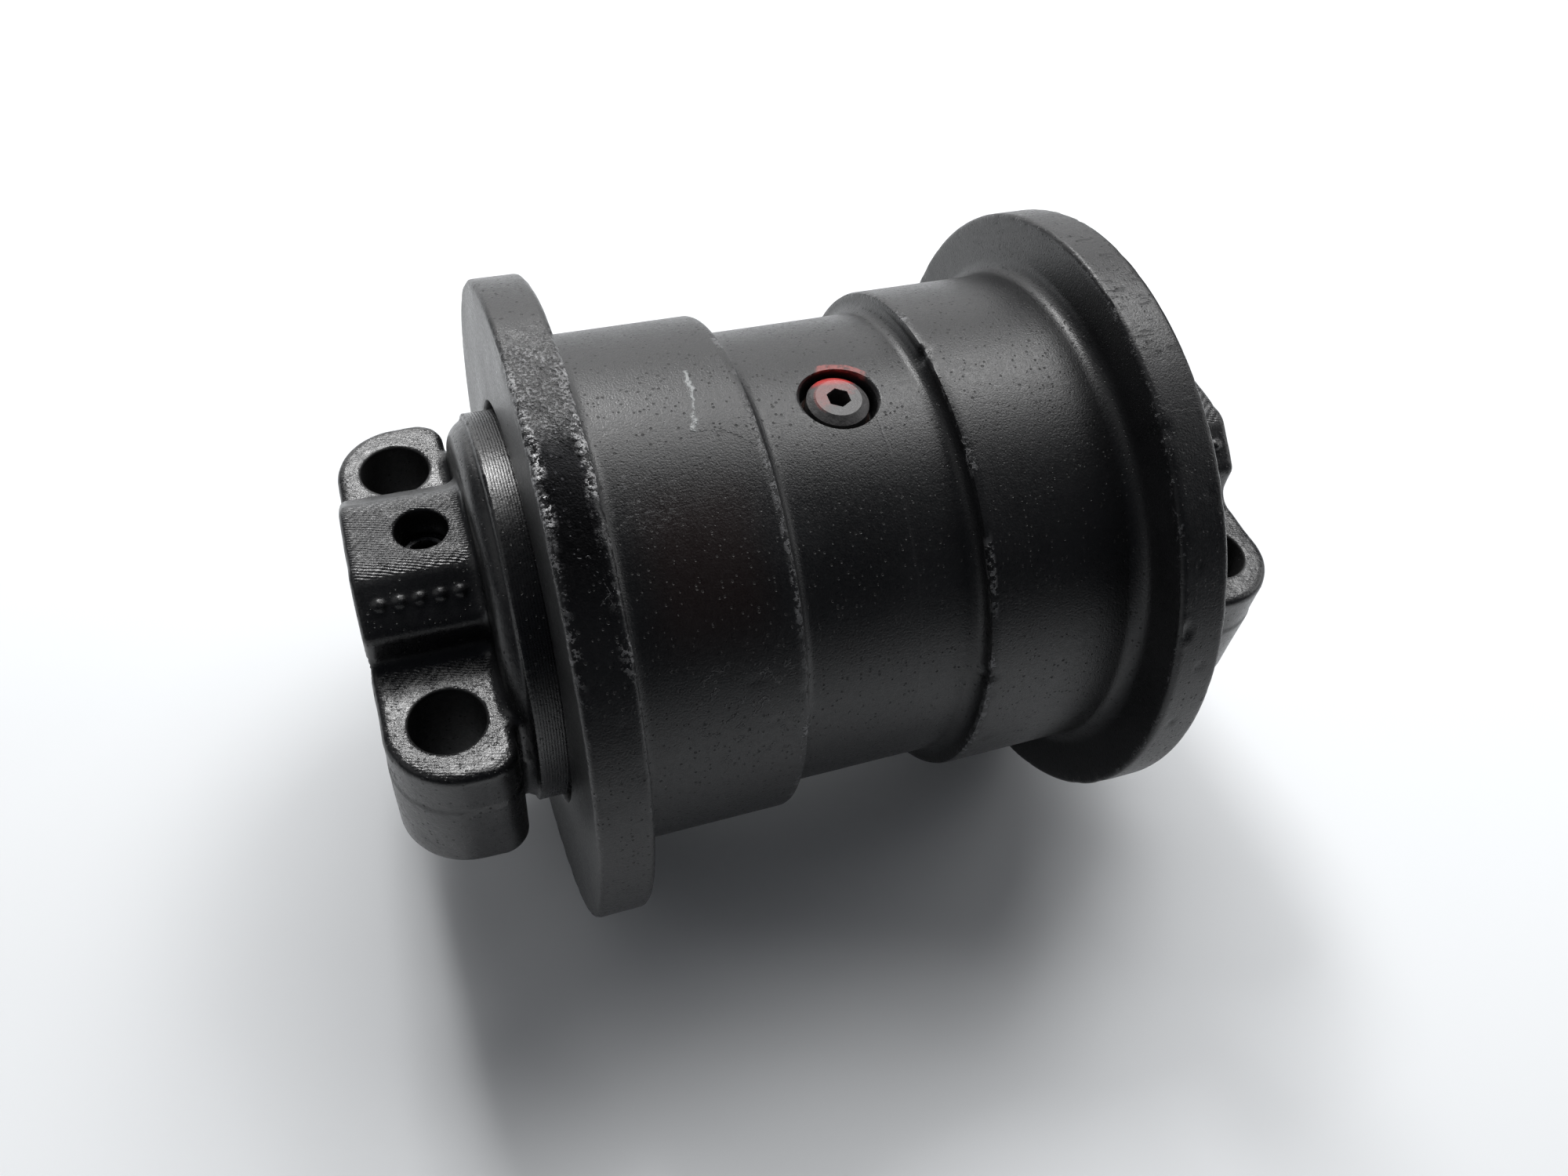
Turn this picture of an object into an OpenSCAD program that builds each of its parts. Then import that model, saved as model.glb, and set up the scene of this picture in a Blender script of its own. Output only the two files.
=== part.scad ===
// Bottom track roller for a 20 tonne class crawler excavator.
// A flanged shell turns on two bushes round a fixed shaft; a cast collar pinned
// to each shaft end carries it. Floating seals close both ends.
// X runs along the shaft, Z points out of the block side of the collars and the
// machined bolting pads face -Z. The origin is the middle of the shaft axis.

/* [Shell] */
// Flange outside diameter
flange_d = 188; // [150:1:240]
// Tread diameter, where the track link runs
tread_d = 152; // [120:1:200]
// Barrel diameter between the treads
barrel_d = 140; // [100:1:190]
// Width over the two flanges
shell_w = 176.8; // [140:0.1:240]
// Thickness of one flange
flange_t = 14.7; // [8:0.1:30]
// Distance from the middle to the inner edge of a tread
step_x = 26.4; // [15:0.1:45]
// Radius at the foot of a flange
foot_r = 5; // [2:0.5:12]
// Radius at the foot of a tread
step_r = 4; // [1:0.5:5]
// Rounding of the flange rim
rim_r = 1.6; // [0.5:0.1:4]
// Diameter of the recess each collar runs in
recess_d = 120; // [100:0.5:150]
// Distance from the middle to the floor of that recess
recess_x = 80; // [70:0.5:90]
// Diameter of the oil space round the shaft
oil_d = 84; // [70:1:120]

/* [Shaft and bushes] */
// Shaft diameter
shaft_d = 60; // [40:1:80]
// Shaft length
shaft_len = 266; // [200:1:340]
// Radial running clearance of the bushes
run_gap = 0.08; // [0.02:0.01:0.1]
// Bush outside diameter
bush_d = 68; // [60:1:90]
// Bush flange diameter
bush_flange_d = 82; // [70:1:100]
// Distance from the middle to the inner end of a bush
bush_x = 44; // [30:1:60]
// Distance from the middle to the back of the bush flange
bush_seat_x = 75; // [60:1:90]
// Thickness of the bush flange
bush_flange_t = 4; // [2:0.5:8]
// Side clearance between bush flange and collar
side_gap = 0.4; // [0.2:0.05:1]
// Distance from the middle to the oil groove in a bush
groove_x = 60; // [50:1:68]
// Width of the oil groove and of the slots in the thrust face
groove_w = 3; // [1:0.5:5]

/* [Collars] */
// Distance from the middle to the outer face of a collar
collar_x = 134; // [110:0.5:180]
// Distance from the middle to the inner face of the lugs
lug_x = 101; // [90:0.5:130]
// Half width over the two lugs
lug_y = 66.5; // [50:0.5:90]
// Height of the lug face above the shaft axis
lug_top = 16.5; // [8:0.5:30]
// Depth of the bolting pads below the shaft axis
pad_z = 24.5; // [15:0.5:45]
// Corner radius of a lug at its outer end
lug_round = 20; // [8:1:28]
// Corner radius of a lug next to the roller
lug_round_in = 8; // [4:1:16]
// Radius of the saddle round the shaft on the pad side
saddle_r = 41; // [36:0.5:60]
// Height of the raised block
block_top = 39.6; // [34:0.1:60]
// Half width of the flat on the block
block_flat = 12.5; // [8:0.5:25]
// Half width of the block at the foot of its slopes
block_half = 26.2; // [20:0.2:40]
// Height of the foot of the slopes
slope_z = 28.4; // [20:0.2:36]
// Diameter of the machined band that enters the shell
band_d = 115; // [90:0.5:140]
// Diameter of the cast rim beside the band
rim_d = 113; // [90:0.5:140]
// Radius of the cast rim's rounded shoulder
rim_corner_r = 7.5; // [3:0.1:9]
// Distance from the middle to the end of the band
band_x = 96.2; // [88:0.1:100]
// Distance from the middle to the mouth of the collar
mouth_x = 81.5; // [78:0.1:88]
// Step of the casting at its parting line
parting_step = 0.4; // [0:0.1:1]
// Number of round pips cast on one slope
pip_count = 5; // [1:1:5]
// Distance between two pips
pip_pitch = 5.2; // [4.2:0.1:5.4]
// Diameter of a pip at its foot
pip_d = 4; // [2:0.5:4]

/* [Bolt holes and lock pins] */
// Bolt hole diameter
bolt_d = 20; // [14:0.5:30]
// Bolt hole spacing along the shaft
bolt_sx = 234; // [180:1:300]
// Bolt hole spacing across the shaft
bolt_sy = 94; // [60:1:150]
// Lock pin diameter
pin_d = 14.1; // [8:0.1:20]
// Distance from the middle to a lock pin
pin_x = 113.7; // [100:0.1:130]
// Height of the top of a lock pin
pin_top = 29.6; // [25:0.1:38]
// Depth of the bottom of a lock pin
pin_low = 35.5; // [30:0.1:39]
// Wall thickness of a lock pin
pin_wall = 2.4; // [1:0.1:5]

/* [Seals] */
// Distance from the middle to the sealing faces
seal_x = 80.75; // [75:0.05:88]
// Inner radius of a seal ring
seal_in = 43.6; // [40:0.1:50]
// Outer radius of the sealing face
seal_out = 51.2; // [48:0.1:56]
// Thickness of the rubber ring
toric_d = 5.2; // [3:0.1:5.2]
// Radius of the middle of the rubber ring's section
toric_r = 49.2; // [49:0.05:49.3]
// Distance of the rubber ring from the sealing faces
toric_gap = 6.25; // [6:0.05:6.5]
// Thickness of the shaft sealing ring
oring_d = 3.36; // [2:0.02:5]
// Distance from the middle to the shaft sealing ring
oring_x = 88.4; // [84:0.1:95]

/* [Oil plug] */
// Turn of the plug from straight up, toward -Y
plug_tilt = 6; // [-180:1:180]
// Diameter of the recess in the barrel
plug_hole_d = 21.5; // [16:0.5:30]
// Distance of the recess floor from the shaft axis
plug_seat = 61.5; // [50:0.5:66]
// Diameter of the plug head
plug_head_d = 17.4; // [12:0.1:24]
// Diameter of the flat on the plug head
plug_flat_d = 12.8; // [8:0.1:20]
// Distance of the top of the plug from the shaft axis
plug_top = 69.6; // [66:0.1:75]
// Thread diameter of the plug
plug_thread_d = 14; // [8:1:20]
// Width across the flats of the hexagon socket
plug_af = 6; // [4:1:10]
// Diameter of the washer under the plug
washer_d = 19.2; // [17:0.1:21]
// Thickness of that washer
washer_t = 1.5; // [0.5:0.1:3]

/* [Hidden] */
$fn = 120;
half_w = shell_w / 2;
flange_x = half_w - flange_t;
shaft_r = shaft_d / 2;
bush_r = bush_d / 2;
oil_r = oil_d / 2;
bush_face = bush_seat_x + bush_flange_t;
hub_x = bush_face + side_gap;
hub_r = 42;
bore_r = shaft_r + 0.05;
pin_r = pin_d / 2;
pocket_x = 71.5;
collar_pocket_x = 2 * seal_x - pocket_x;
pocket_r = 51.5;
pocket_mouth_r = 52.5;
pocket_in = 42.5;
face_gap = 0.03;
slope_a = atan2(block_top - slope_z, block_half - block_flat);
paint = [0.08, 0.08, 0.09];
steel = [0.62, 0.63, 0.65];
bronze = [0.75, 0.56, 0.3];
rubber = [0.1, 0.1, 0.1];
zinc = [0.55, 0.56, 0.58];

// Points of an arc
function arc(cx, cy, r, a0, a1, n = 5) =
    [for (i = [0:n]) [cx + r * cos(a0 + (a1 - a0) * i / n), cy + r * sin(a0 + (a1 - a0) * i / n)]];
// The same outline on the other side of the middle, in the other order
function other_side(pts) = [for (i = [len(pts) - 1:-1:0]) [pts[i][0], -pts[i][1]]];

// Turns a [radius, x] outline round the shaft axis
module turned(pts) {
    rotate([0, 90, 0]) rotate_extrude() polygon(pts);
}

module on_left() {
    mirror([1, 0, 0]) children();
}

// Places things on the axis of the oil plug, z counted from the shaft axis
module on_plug() {
    rotate([plug_tilt, 0, 0]) children();
}

// Round bar along Z between two heights
module bar(r, z0, z1) {
    translate([0, 0, z0]) cylinder(r = r, h = z1 - z0);
}

shell_outer = concat(
    arc(barrel_d / 2 + step_r, step_x - step_r, step_r, 180, 90),
    arc(tread_d / 2 - 1.2, step_x + 1.2, 1.2, -90, 0, 4),
    arc(tread_d / 2 + foot_r, flange_x - foot_r, foot_r, 180, 90, 6),
    arc(flange_d / 2 - rim_r, flange_x + rim_r, rim_r, -90, 0, 4),
    arc(flange_d / 2 - rim_r, half_w - rim_r, rim_r, 0, 90, 4)
);
shell_inner = [
    [recess_d / 2 + 0.8, half_w], [recess_d / 2, half_w - 0.8], [recess_d / 2, recess_x],
    [pocket_mouth_r, recess_x], [pocket_r, pocket_x], [pocket_in, pocket_x],
    [pocket_in, bush_seat_x], [bush_r + 0.01, bush_seat_x], [bush_r + 0.01, bush_x - 2],
    [oil_r, bush_x - 6]
];
shell_half = concat(shell_outer, shell_inner);

module roller_shell() {
    color(paint) difference() {
        turned(concat(shell_half, other_side(shell_half)));
        on_plug() {
            bar(plug_hole_d / 2, plug_seat, barrel_d / 2 + 2);
            bar(plug_thread_d / 2 + 0.05, oil_r - 2, plug_seat + 1);
            translate([0, 0, barrel_d / 2 - 0.9])
                cylinder(r1 = plug_hole_d / 2, r2 = plug_hole_d / 2 + 1.2, h = 1.2);
        }
    }
}

module bush() {
    color(bronze) difference() {
        turned([
            [shaft_r + run_gap, bush_x + 0.5], [shaft_r + run_gap + 0.5, bush_x],
            [bush_r - 1, bush_x], [bush_r, bush_x + 1], [bush_r, bush_seat_x],
            [bush_flange_d / 2, bush_seat_x], [bush_flange_d / 2, bush_face - 0.6],
            [bush_flange_d / 2 - 0.6, bush_face], [shaft_r + run_gap + 0.6, bush_face],
            [shaft_r + run_gap, bush_face - 0.6]
        ]);
        // oil groove in the bore
        turned([
            [shaft_r - 1, groove_x], [shaft_r + 1.1, groove_x],
            [shaft_r + 1.1, groove_x + groove_w], [shaft_r - 1, groove_x + groove_w]
        ]);
        // oil slots across the thrust face
        for (a = [45:90:315]) rotate([a, 0, 0])
            translate([bush_face - 0.9, -groove_w / 2, shaft_r - 1])
                cube([2, groove_w, bush_flange_d / 2 + 2 - shaft_r]);
    }
}

module left_bush() {
    on_left() bush();
}

module right_bush() {
    bush();
}

shaft_half = [
    [shaft_r - 0.6, 0], [shaft_r - 0.6, bush_x - 7], [shaft_r, bush_x - 6],
    [shaft_r, oring_x - 2.2], [shaft_r - 3.4, oring_x - 2.2],
    [shaft_r - 3.4, oring_x + 2.2], [shaft_r, oring_x + 2.2],
    [shaft_r, shaft_len / 2 - 2], [shaft_r - 2, shaft_len / 2],
    [4.2, shaft_len / 2], [1.6, shaft_len / 2 - 4.5], [0, shaft_len / 2 - 7]
];

module shaft() {
    color(steel) difference() {
        turned(concat(shaft_half, other_side(shaft_half)));
        for (s = [-1, 1]) translate([s * pin_x, 0, -40]) cylinder(r = pin_r + 0.05, h = 80);
    }
}

// One column of the lug plate, rounded at the top edge
module lug_column(r, z0, z1, edge) {
    rotate_extrude($fn = 48)
        polygon(concat([[0, z0], [r - 0.8, z0], [r, z0 + 0.8]],
            arc(r - edge, z1 - edge, edge, 0, 90, 4), [[0, z1]]));
}

module lug_plate(grow, z0, z1, edge) {
    hull() for (s = [-1, 1]) {
        translate([collar_x - lug_round, s * (lug_y - lug_round), 0])
            lug_column(lug_round + grow, z0, z1, edge);
        translate([lug_x + lug_round_in, s * (lug_y - lug_round_in), 0])
            lug_column(lug_round_in + grow, z0, z1, edge);
    }
}

// Half outline of the raised block across the shaft, from its foot up
block_side = concat(
    arc(block_half + 4, lug_top + 4, 4.8, 270, 180, 5),
    arc(block_half - 1.2, slope_z - 0.2, 1.2, 0, 90 - slope_a, 3),
    arc(block_flat - 1, block_top - 2.2, 2.2, 90 - slope_a, 90, 3)
);

module raised_block() {
    translate([lug_x, 0, 0]) rotate([90, 0, 90]) linear_extrude(height = collar_x - lug_x)
        polygon(concat([[0, 0], [block_half, 0]], block_side,
            [for (i = [len(block_side) - 1:-1:0]) [-block_side[i][0], block_side[i][1]]],
            [[-block_half, 0]]));
}

// Round pips cast on the slope that faces -Y
module cast_pips() {
    middle_x = (lug_x + collar_x) / 2;
    for (i = [0:pip_count - 1])
        translate([middle_x + pip_pitch * (i - (pip_count - 1) / 2),
            -(block_flat + block_half) / 2, (block_top + slope_z) / 2])
            rotate([slope_a, 0, 0]) translate([0, 0, -0.6])
                cylinder(d1 = pip_d, d2 = 0.65 * pip_d, h = 1.5, $fn = 32);
}

module collar() {
    color(paint) difference() {
        union() {
            // seal housing, machined band and cast rim
            turned(concat(
                [[20, hub_x], [hub_r, hub_x], [hub_r, collar_pocket_x], [pocket_r, collar_pocket_x],
                 [pocket_mouth_r, mouth_x], [band_d / 2 - 0.8, mouth_x],
                 [band_d / 2, mouth_x + 0.8], [band_d / 2, band_x - 0.4],
                 [band_d / 2 - 0.4, band_x]],
                arc(rim_d / 2 - rim_corner_r, lug_x + 0.4 - rim_corner_r, rim_corner_r,
                    asin((band_x + rim_corner_r - lug_x) / rim_corner_r), 90, 7),
                [[20, lug_x + 0.4]]));
            lug_plate(0, 0, lug_top, 3);
            lug_plate(parting_step, -pad_z, 2, 1);
            raised_block();
            cast_pips();
            // saddle under the shaft
            intersection() {
                turned([[0, lug_x], [saddle_r, lug_x], [saddle_r, collar_x - 2.5],
                    [saddle_r - 2.5, collar_x], [0, collar_x]]);
                translate([lug_x - 1, -60, -60]) cube([60, 120, 60]);
            }
        }
        // shaft bore with a lead-in
        turned([[0, 70], [bore_r, 70], [bore_r, collar_x - 1.5], [bore_r + 2.5, collar_x + 1],
            [0, collar_x + 1]]);
        // bolt holes
        for (s = [-1, 1]) translate([bolt_sx / 2, s * bolt_sy / 2, 0])
            bar(bolt_d / 2, -pad_z - 1, lug_top + 12);
        // lock pin hole, closed at the bottom
        translate([pin_x, 0, 0]) bar(pin_r + 0.05, -pin_low - 0.5, block_top + 1);
    }
}

module left_collar() {
    on_left() collar();
}

module right_collar() {
    collar();
}

// Slotted spring pin
module lock_pin() {
    pin_side = [
        [pin_r - 1.2, -pin_low], [pin_r, -pin_low + 2.4], [pin_r, pin_top - 2.4],
        [pin_r - 1.2, pin_top], [pin_r - pin_wall, pin_top], [pin_r - pin_wall, -pin_low]
    ];
    color(steel) translate([pin_x, 0, 0]) difference() {
        rotate_extrude($fn = 64) polygon(pin_side);
        translate([0, -1, -pin_low - 1]) cube([pin_r + 1, 2, pin_low + pin_top + 2]);
    }
}

module left_lock_pin() {
    on_left() lock_pin();
}

module right_lock_pin() {
    lock_pin();
}

// Rubber ring of round section
module ring_of(r, x, d) {
    color(rubber) translate([x, 0, 0]) rotate([0, 90, 0])
        rotate_extrude() translate([r, 0]) circle(d = d, $fn = 48);
}

module left_shaft_o_ring() {
    on_left() ring_of(shaft_r - 1.65, oring_x, oring_d);
}

module right_shaft_o_ring() {
    ring_of(shaft_r - 1.65, oring_x, oring_d);
}

// Seal ring with its sealing face at x = 0 and its body running to -x
module seal_ring() {
    turned(concat(
        [[seal_in + 1.2, -face_gap], [seal_out - 0.4, -face_gap], [seal_out, -0.5],
         [seal_out, -2.8], [seal_out - 2.6, -3.1]],
        arc(48, -4.2, 1.2, 90, 180, 3),
        [[seal_in + 2.4, -8.35], [seal_in, -8.35], [seal_in, -1.2]]));
}

module left_shell_seal_ring() {
    color(steel) translate([-seal_x, 0, 0]) on_left() seal_ring();
}

module right_shell_seal_ring() {
    color(steel) translate([seal_x, 0, 0]) seal_ring();
}

module left_collar_seal_ring() {
    color(steel) translate([-seal_x, 0, 0]) seal_ring();
}

module right_collar_seal_ring() {
    color(steel) translate([seal_x, 0, 0]) on_left() seal_ring();
}

module left_shell_toric() {
    ring_of(toric_r, -seal_x + toric_gap, toric_d);
}

module right_shell_toric() {
    ring_of(toric_r, seal_x - toric_gap, toric_d);
}

module left_collar_toric() {
    ring_of(toric_r, -seal_x - toric_gap, toric_d);
}

module right_collar_toric() {
    ring_of(toric_r, seal_x + toric_gap, toric_d);
}

module oil_plug() {
    head_z = plug_seat + washer_t;
    color(zinc) on_plug() difference() {
        union() {
            bar(plug_thread_d / 2, plug_seat - 14, head_z + 1);
            bar(plug_head_d / 2, head_z, plug_top - 1.7);
            translate([0, 0, plug_top - 1.7])
                cylinder(d1 = plug_head_d, d2 = plug_flat_d, h = 1.7);
        }
        translate([0, 0, plug_top - 5]) rotate([0, 0, 30])
            cylinder(d = plug_af / cos(30), h = 6, $fn = 6);
    }
}

module plug_washer() {
    color(steel) on_plug() difference() {
        bar(washer_d / 2, plug_seat, plug_seat + washer_t);
        bar(plug_thread_d / 2 + 0.1, plug_seat - 1, plug_seat + washer_t + 1);
    }
}

roller_shell();
left_bush();
right_bush();
shaft();
left_collar();
right_collar();
left_lock_pin();
right_lock_pin();
left_shaft_o_ring();
right_shaft_o_ring();
left_shell_seal_ring();
right_shell_seal_ring();
left_collar_seal_ring();
right_collar_seal_ring();
left_shell_toric();
right_shell_toric();
left_collar_toric();
right_collar_toric();
oil_plug();
plug_washer();
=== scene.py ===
"""Looks of a bottom track roller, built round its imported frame.

The shell and the two collars are made again as a forging and as castings, inside
the space of their frame parts. Every other part keeps its frame shape, with its
edges softened. Places and sizes are in millimetres until they become a mesh.
"""

import logging
import math
from dataclasses import dataclass, replace
from enum import Enum
from typing import Callable, Mapping, Optional, Sequence, Union

import bpy
import numpy as np
from mathutils import Matrix, Vector


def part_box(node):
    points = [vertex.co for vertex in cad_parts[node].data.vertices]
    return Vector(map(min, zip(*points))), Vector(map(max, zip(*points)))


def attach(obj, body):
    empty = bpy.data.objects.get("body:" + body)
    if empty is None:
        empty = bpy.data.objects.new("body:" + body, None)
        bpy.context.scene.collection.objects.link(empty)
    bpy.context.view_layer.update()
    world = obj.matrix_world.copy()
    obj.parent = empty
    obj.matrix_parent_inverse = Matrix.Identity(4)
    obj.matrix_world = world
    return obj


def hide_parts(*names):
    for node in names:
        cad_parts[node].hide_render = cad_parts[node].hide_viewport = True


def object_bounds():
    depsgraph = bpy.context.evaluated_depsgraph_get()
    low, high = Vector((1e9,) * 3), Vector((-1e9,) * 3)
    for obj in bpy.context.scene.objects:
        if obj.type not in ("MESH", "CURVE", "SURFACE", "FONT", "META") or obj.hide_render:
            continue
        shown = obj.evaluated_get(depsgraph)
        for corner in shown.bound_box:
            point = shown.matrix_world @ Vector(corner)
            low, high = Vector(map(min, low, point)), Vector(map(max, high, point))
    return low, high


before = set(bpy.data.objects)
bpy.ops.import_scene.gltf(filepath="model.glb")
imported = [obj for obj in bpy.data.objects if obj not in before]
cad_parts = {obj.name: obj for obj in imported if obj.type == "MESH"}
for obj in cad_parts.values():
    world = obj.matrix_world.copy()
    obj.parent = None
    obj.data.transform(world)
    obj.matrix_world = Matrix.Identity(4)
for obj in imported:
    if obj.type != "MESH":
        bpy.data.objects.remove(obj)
CAD_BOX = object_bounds()

MM = 0.001
LOG = logging.getLogger("track_roller")

Colour = tuple[float, float, float]
Place = tuple[float, float, float]
Span = tuple[float, ...]
Line = tuple[tuple[float, float], ...]
Points = np.ndarray
Field = Callable[[Points], Points]
Feed = Union[float, Colour, "Wire", Sequence[float]]


class Side(Enum):
    """An end of the roller, as the sign of its X."""

    LEFT = -1
    RIGHT = 1


class Slot(Enum):
    """Names of two finish slots of the record."""

    SHELL = "shell_paint"
    COLLAR = "collar_paint"


class Body(Enum):
    """The two bodies of the frame."""

    AXLE = "axle"
    ROLLER = "roller"


# ---------------------------------------------------------------- shader maths


class Wire:
    """An output of a shader node that takes part in Python arithmetic."""

    def __init__(self, board: "Board", socket: bpy.types.NodeSocket) -> None:
        """Keeps the board that the node is on and the node's output."""
        self.board = board
        self.socket = socket

    def __add__(self, other: Feed) -> "Wire":
        """Adds a value."""
        return self.board.math("ADD", self, other)

    def __radd__(self, other: Feed) -> "Wire":
        """Adds to a value."""
        return self.board.math("ADD", other, self)

    def __sub__(self, other: Feed) -> "Wire":
        """Takes a value away."""
        return self.board.math("SUBTRACT", self, other)

    def __rsub__(self, other: Feed) -> "Wire":
        """Is taken from a value."""
        return self.board.math("SUBTRACT", other, self)

    def __mul__(self, other: Feed) -> "Wire":
        """Multiplies by a value."""
        return self.board.math("MULTIPLY", self, other)

    def __rmul__(self, other: Feed) -> "Wire":
        """Multiplies a value."""
        return self.board.math("MULTIPLY", other, self)

    def __truediv__(self, other: Feed) -> "Wire":
        """Divides by a value."""
        return self.board.math("DIVIDE", self, other)

    def __rtruediv__(self, other: Feed) -> "Wire":
        """Divides a value."""
        return self.board.math("DIVIDE", other, self)

    def __neg__(self) -> "Wire":
        """Changes the sign."""
        return self.board.math("MULTIPLY", self, -1.0)

    def __abs__(self) -> "Wire":
        """Drops the sign."""
        return self.board.math("ABSOLUTE", self)

    def held(self) -> "Wire":
        """Holds the value between 0 and 1."""
        node = self.board.node("ShaderNodeClamp", None, {"Value": self})
        return Wire(self.board, node.outputs[0])

    def fade(self, start: Feed, end: Feed) -> "Wire":
        """Rises smoothly from 0 at start to 1 at end, or falls if end is below start.

        Args:
            start: Value at which the result leaves 0.
            end: Value at which the result reaches 1.

        Returns:
            The share, held between 0 and 1.
        """
        node = self.board.node(
            "ShaderNodeMapRange",
            {"interpolation_type": "SMOOTHSTEP", "clamp": True},
            {"Value": self, 1: start, 2: end, 3: 0.0, 4: 1.0},
        )
        return Wire(self.board, node.outputs["Result"])

    def window(self, low: float, high: float, soft: float, soft_high: float = 0.0) -> "Wire":
        """Is 1 between two values, fading inside each end by soft, or by soft_high at the high one."""
        return self.fade(low, low + soft) * self.fade(high, high - (soft_high or soft))


class Board:
    """A node tree, and the nodes that are put on it."""

    def __init__(self, tree: bpy.types.NodeTree) -> None:
        """Takes a tree and clears it."""
        self.tree = tree
        self.tree.nodes.clear()

    def node(
        self,
        kind: str,
        settings: Optional[Mapping[str, object]] = None,
        inputs: Optional[Mapping[Union[str, int], Feed]] = None,
    ) -> bpy.types.Node:
        """Adds any node.

        Args:
            kind: The node's type.
            settings: Its own settings, which are set first.
            inputs: A value or a wire for each input, by name or number.

        Returns:
            The new node.
        """
        node = self.tree.nodes.new(kind)
        for key, value in (settings or {}).items():
            setattr(node, key, value)
        for key, value in (inputs or {}).items():
            if isinstance(value, Wire):
                self.tree.links.new(value.socket, node.inputs[key])
            else:
                node.inputs[key].default_value = value
        return node

    def math(self, operation: str, *values: Feed) -> Wire:
        """Adds a Math node and gives its result."""
        node = self.node("ShaderNodeMath", {"operation": operation}, dict(enumerate(values)))
        return Wire(self, node.outputs[0])

    def across(self, first: Wire, second: Wire) -> Wire:
        """Distance that two lengths at right angles make."""
        return self.math("SQRT", first * first + second * second)

    def vector(self, operation: str, *values: Feed, out: str = "Vector") -> Wire:
        """Adds a Vector Math node.

        Args:
            operation: The operation's name.
            values: Its operands in order; SCALE takes a vector and a number.
            out: Which output to return.

        Returns:
            The result.
        """
        inputs = {0: values[0], 3: values[1]} if operation == "SCALE" else dict(enumerate(values))
        node = self.node("ShaderNodeVectorMath", {"operation": operation}, inputs)
        return Wire(self, node.outputs[out])

    def split(self, vector: Wire) -> tuple[Wire, Wire, Wire]:
        """Splits a vector into its three values."""
        node = self.node("ShaderNodeSeparateXYZ", None, {0: vector})
        return tuple(Wire(self, node.outputs[i]) for i in range(3))

    def place(self) -> Wire:
        """Place on the object, in millimetres."""
        node = self.node("ShaderNodeTexCoord")
        return self.vector("SCALE", Wire(self, node.outputs["Object"]), 1 / MM)

    def facing(self) -> tuple[Wire, Wire, Wire]:
        """Direction that the surface faces, in the object's own axes."""
        node = self.node("ShaderNodeTexCoord")
        return self.split(Wire(self, node.outputs["Normal"]))

    def noise(self, place: Wire, size: float, detail: float = 2.0, rough: float = 0.5) -> Wire:
        """Smooth noise around 0.5, of features up to a size in millimetres."""
        inputs = {"Vector": place, "Scale": 1 / size, "Detail": detail, "Roughness": rough}
        return Wire(self, self.node("ShaderNodeTexNoise", None, inputs).outputs["Fac"])

    def spots(self, place: Wire, size: float, radius: float, share: float) -> Wire:
        """Scattered round spots of many sizes.

        Args:
            place: Place in millimetres.
            size: Mean distance between two cells in millimetres.
            radius: Radius of the largest spot in millimetres.
            share: Share of the cells that hold a spot.

        Returns:
            1 inside a spot and 0 outside.
        """
        cells = self.node("ShaderNodeTexVoronoi", None, {"Vector": place, "Scale": 1 / size})
        distance = Wire(self, cells.outputs["Distance"]) * size
        own = self.split(Wire(self, cells.outputs["Color"]))[0]
        return (own.fade(1 - share, 1.0) * radius - distance).fade(0.0, 0.3 * radius)

    def stroke(self, chart: Wire, points: Line, width: float) -> Wire:
        """A line drawn on a flat chart.

        Args:
            chart: Vector whose X and Y are the chart's two lengths.
            points: The line's points.
            width: Its width at the middle.

        Returns:
            1 on the line, fading to 0 at its edges.
        """
        nearest: Feed = 1e3
        for (x0, y0), (x1, y1) in zip(points, points[1:]):
            along = (x1 - x0, y1 - y0, 0.0)
            offset = self.vector("SUBTRACT", chart, (x0, y0, 0.0))
            share = self.vector("DOT_PRODUCT", offset, along, out="Value")
            share = (share / (along[0] ** 2 + along[1] ** 2)).held()
            foot = self.vector("SCALE", self.constant(along), share)
            distance = self.vector("DISTANCE", offset, foot, out="Value")
            nearest = self.math("MINIMUM", distance, nearest)
        return nearest.fade(width / 2, width / 6)

    def constant(self, value: Sequence[float]) -> Wire:
        """A fixed vector as a wire."""
        node = self.node("ShaderNodeCombineXYZ", None, dict(enumerate(value)))
        return Wire(self, node.outputs[0])

    def mix(self, share: Feed, first: Feed, second: Feed) -> Wire:
        """Mixes a share of the second colour into the first.

        Args:
            share: The share, from 0 to 1.
            first: The first colour.
            second: The second colour.

        Returns:
            The mixed colour.
        """
        first, second = (c if isinstance(c, Wire) else (*c, 1.0) for c in (first, second))
        node = self.node("ShaderNodeMix", {"data_type": "RGBA"}, {0: share, 6: first, 7: second})
        return Wire(self, node.outputs[2])


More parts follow.
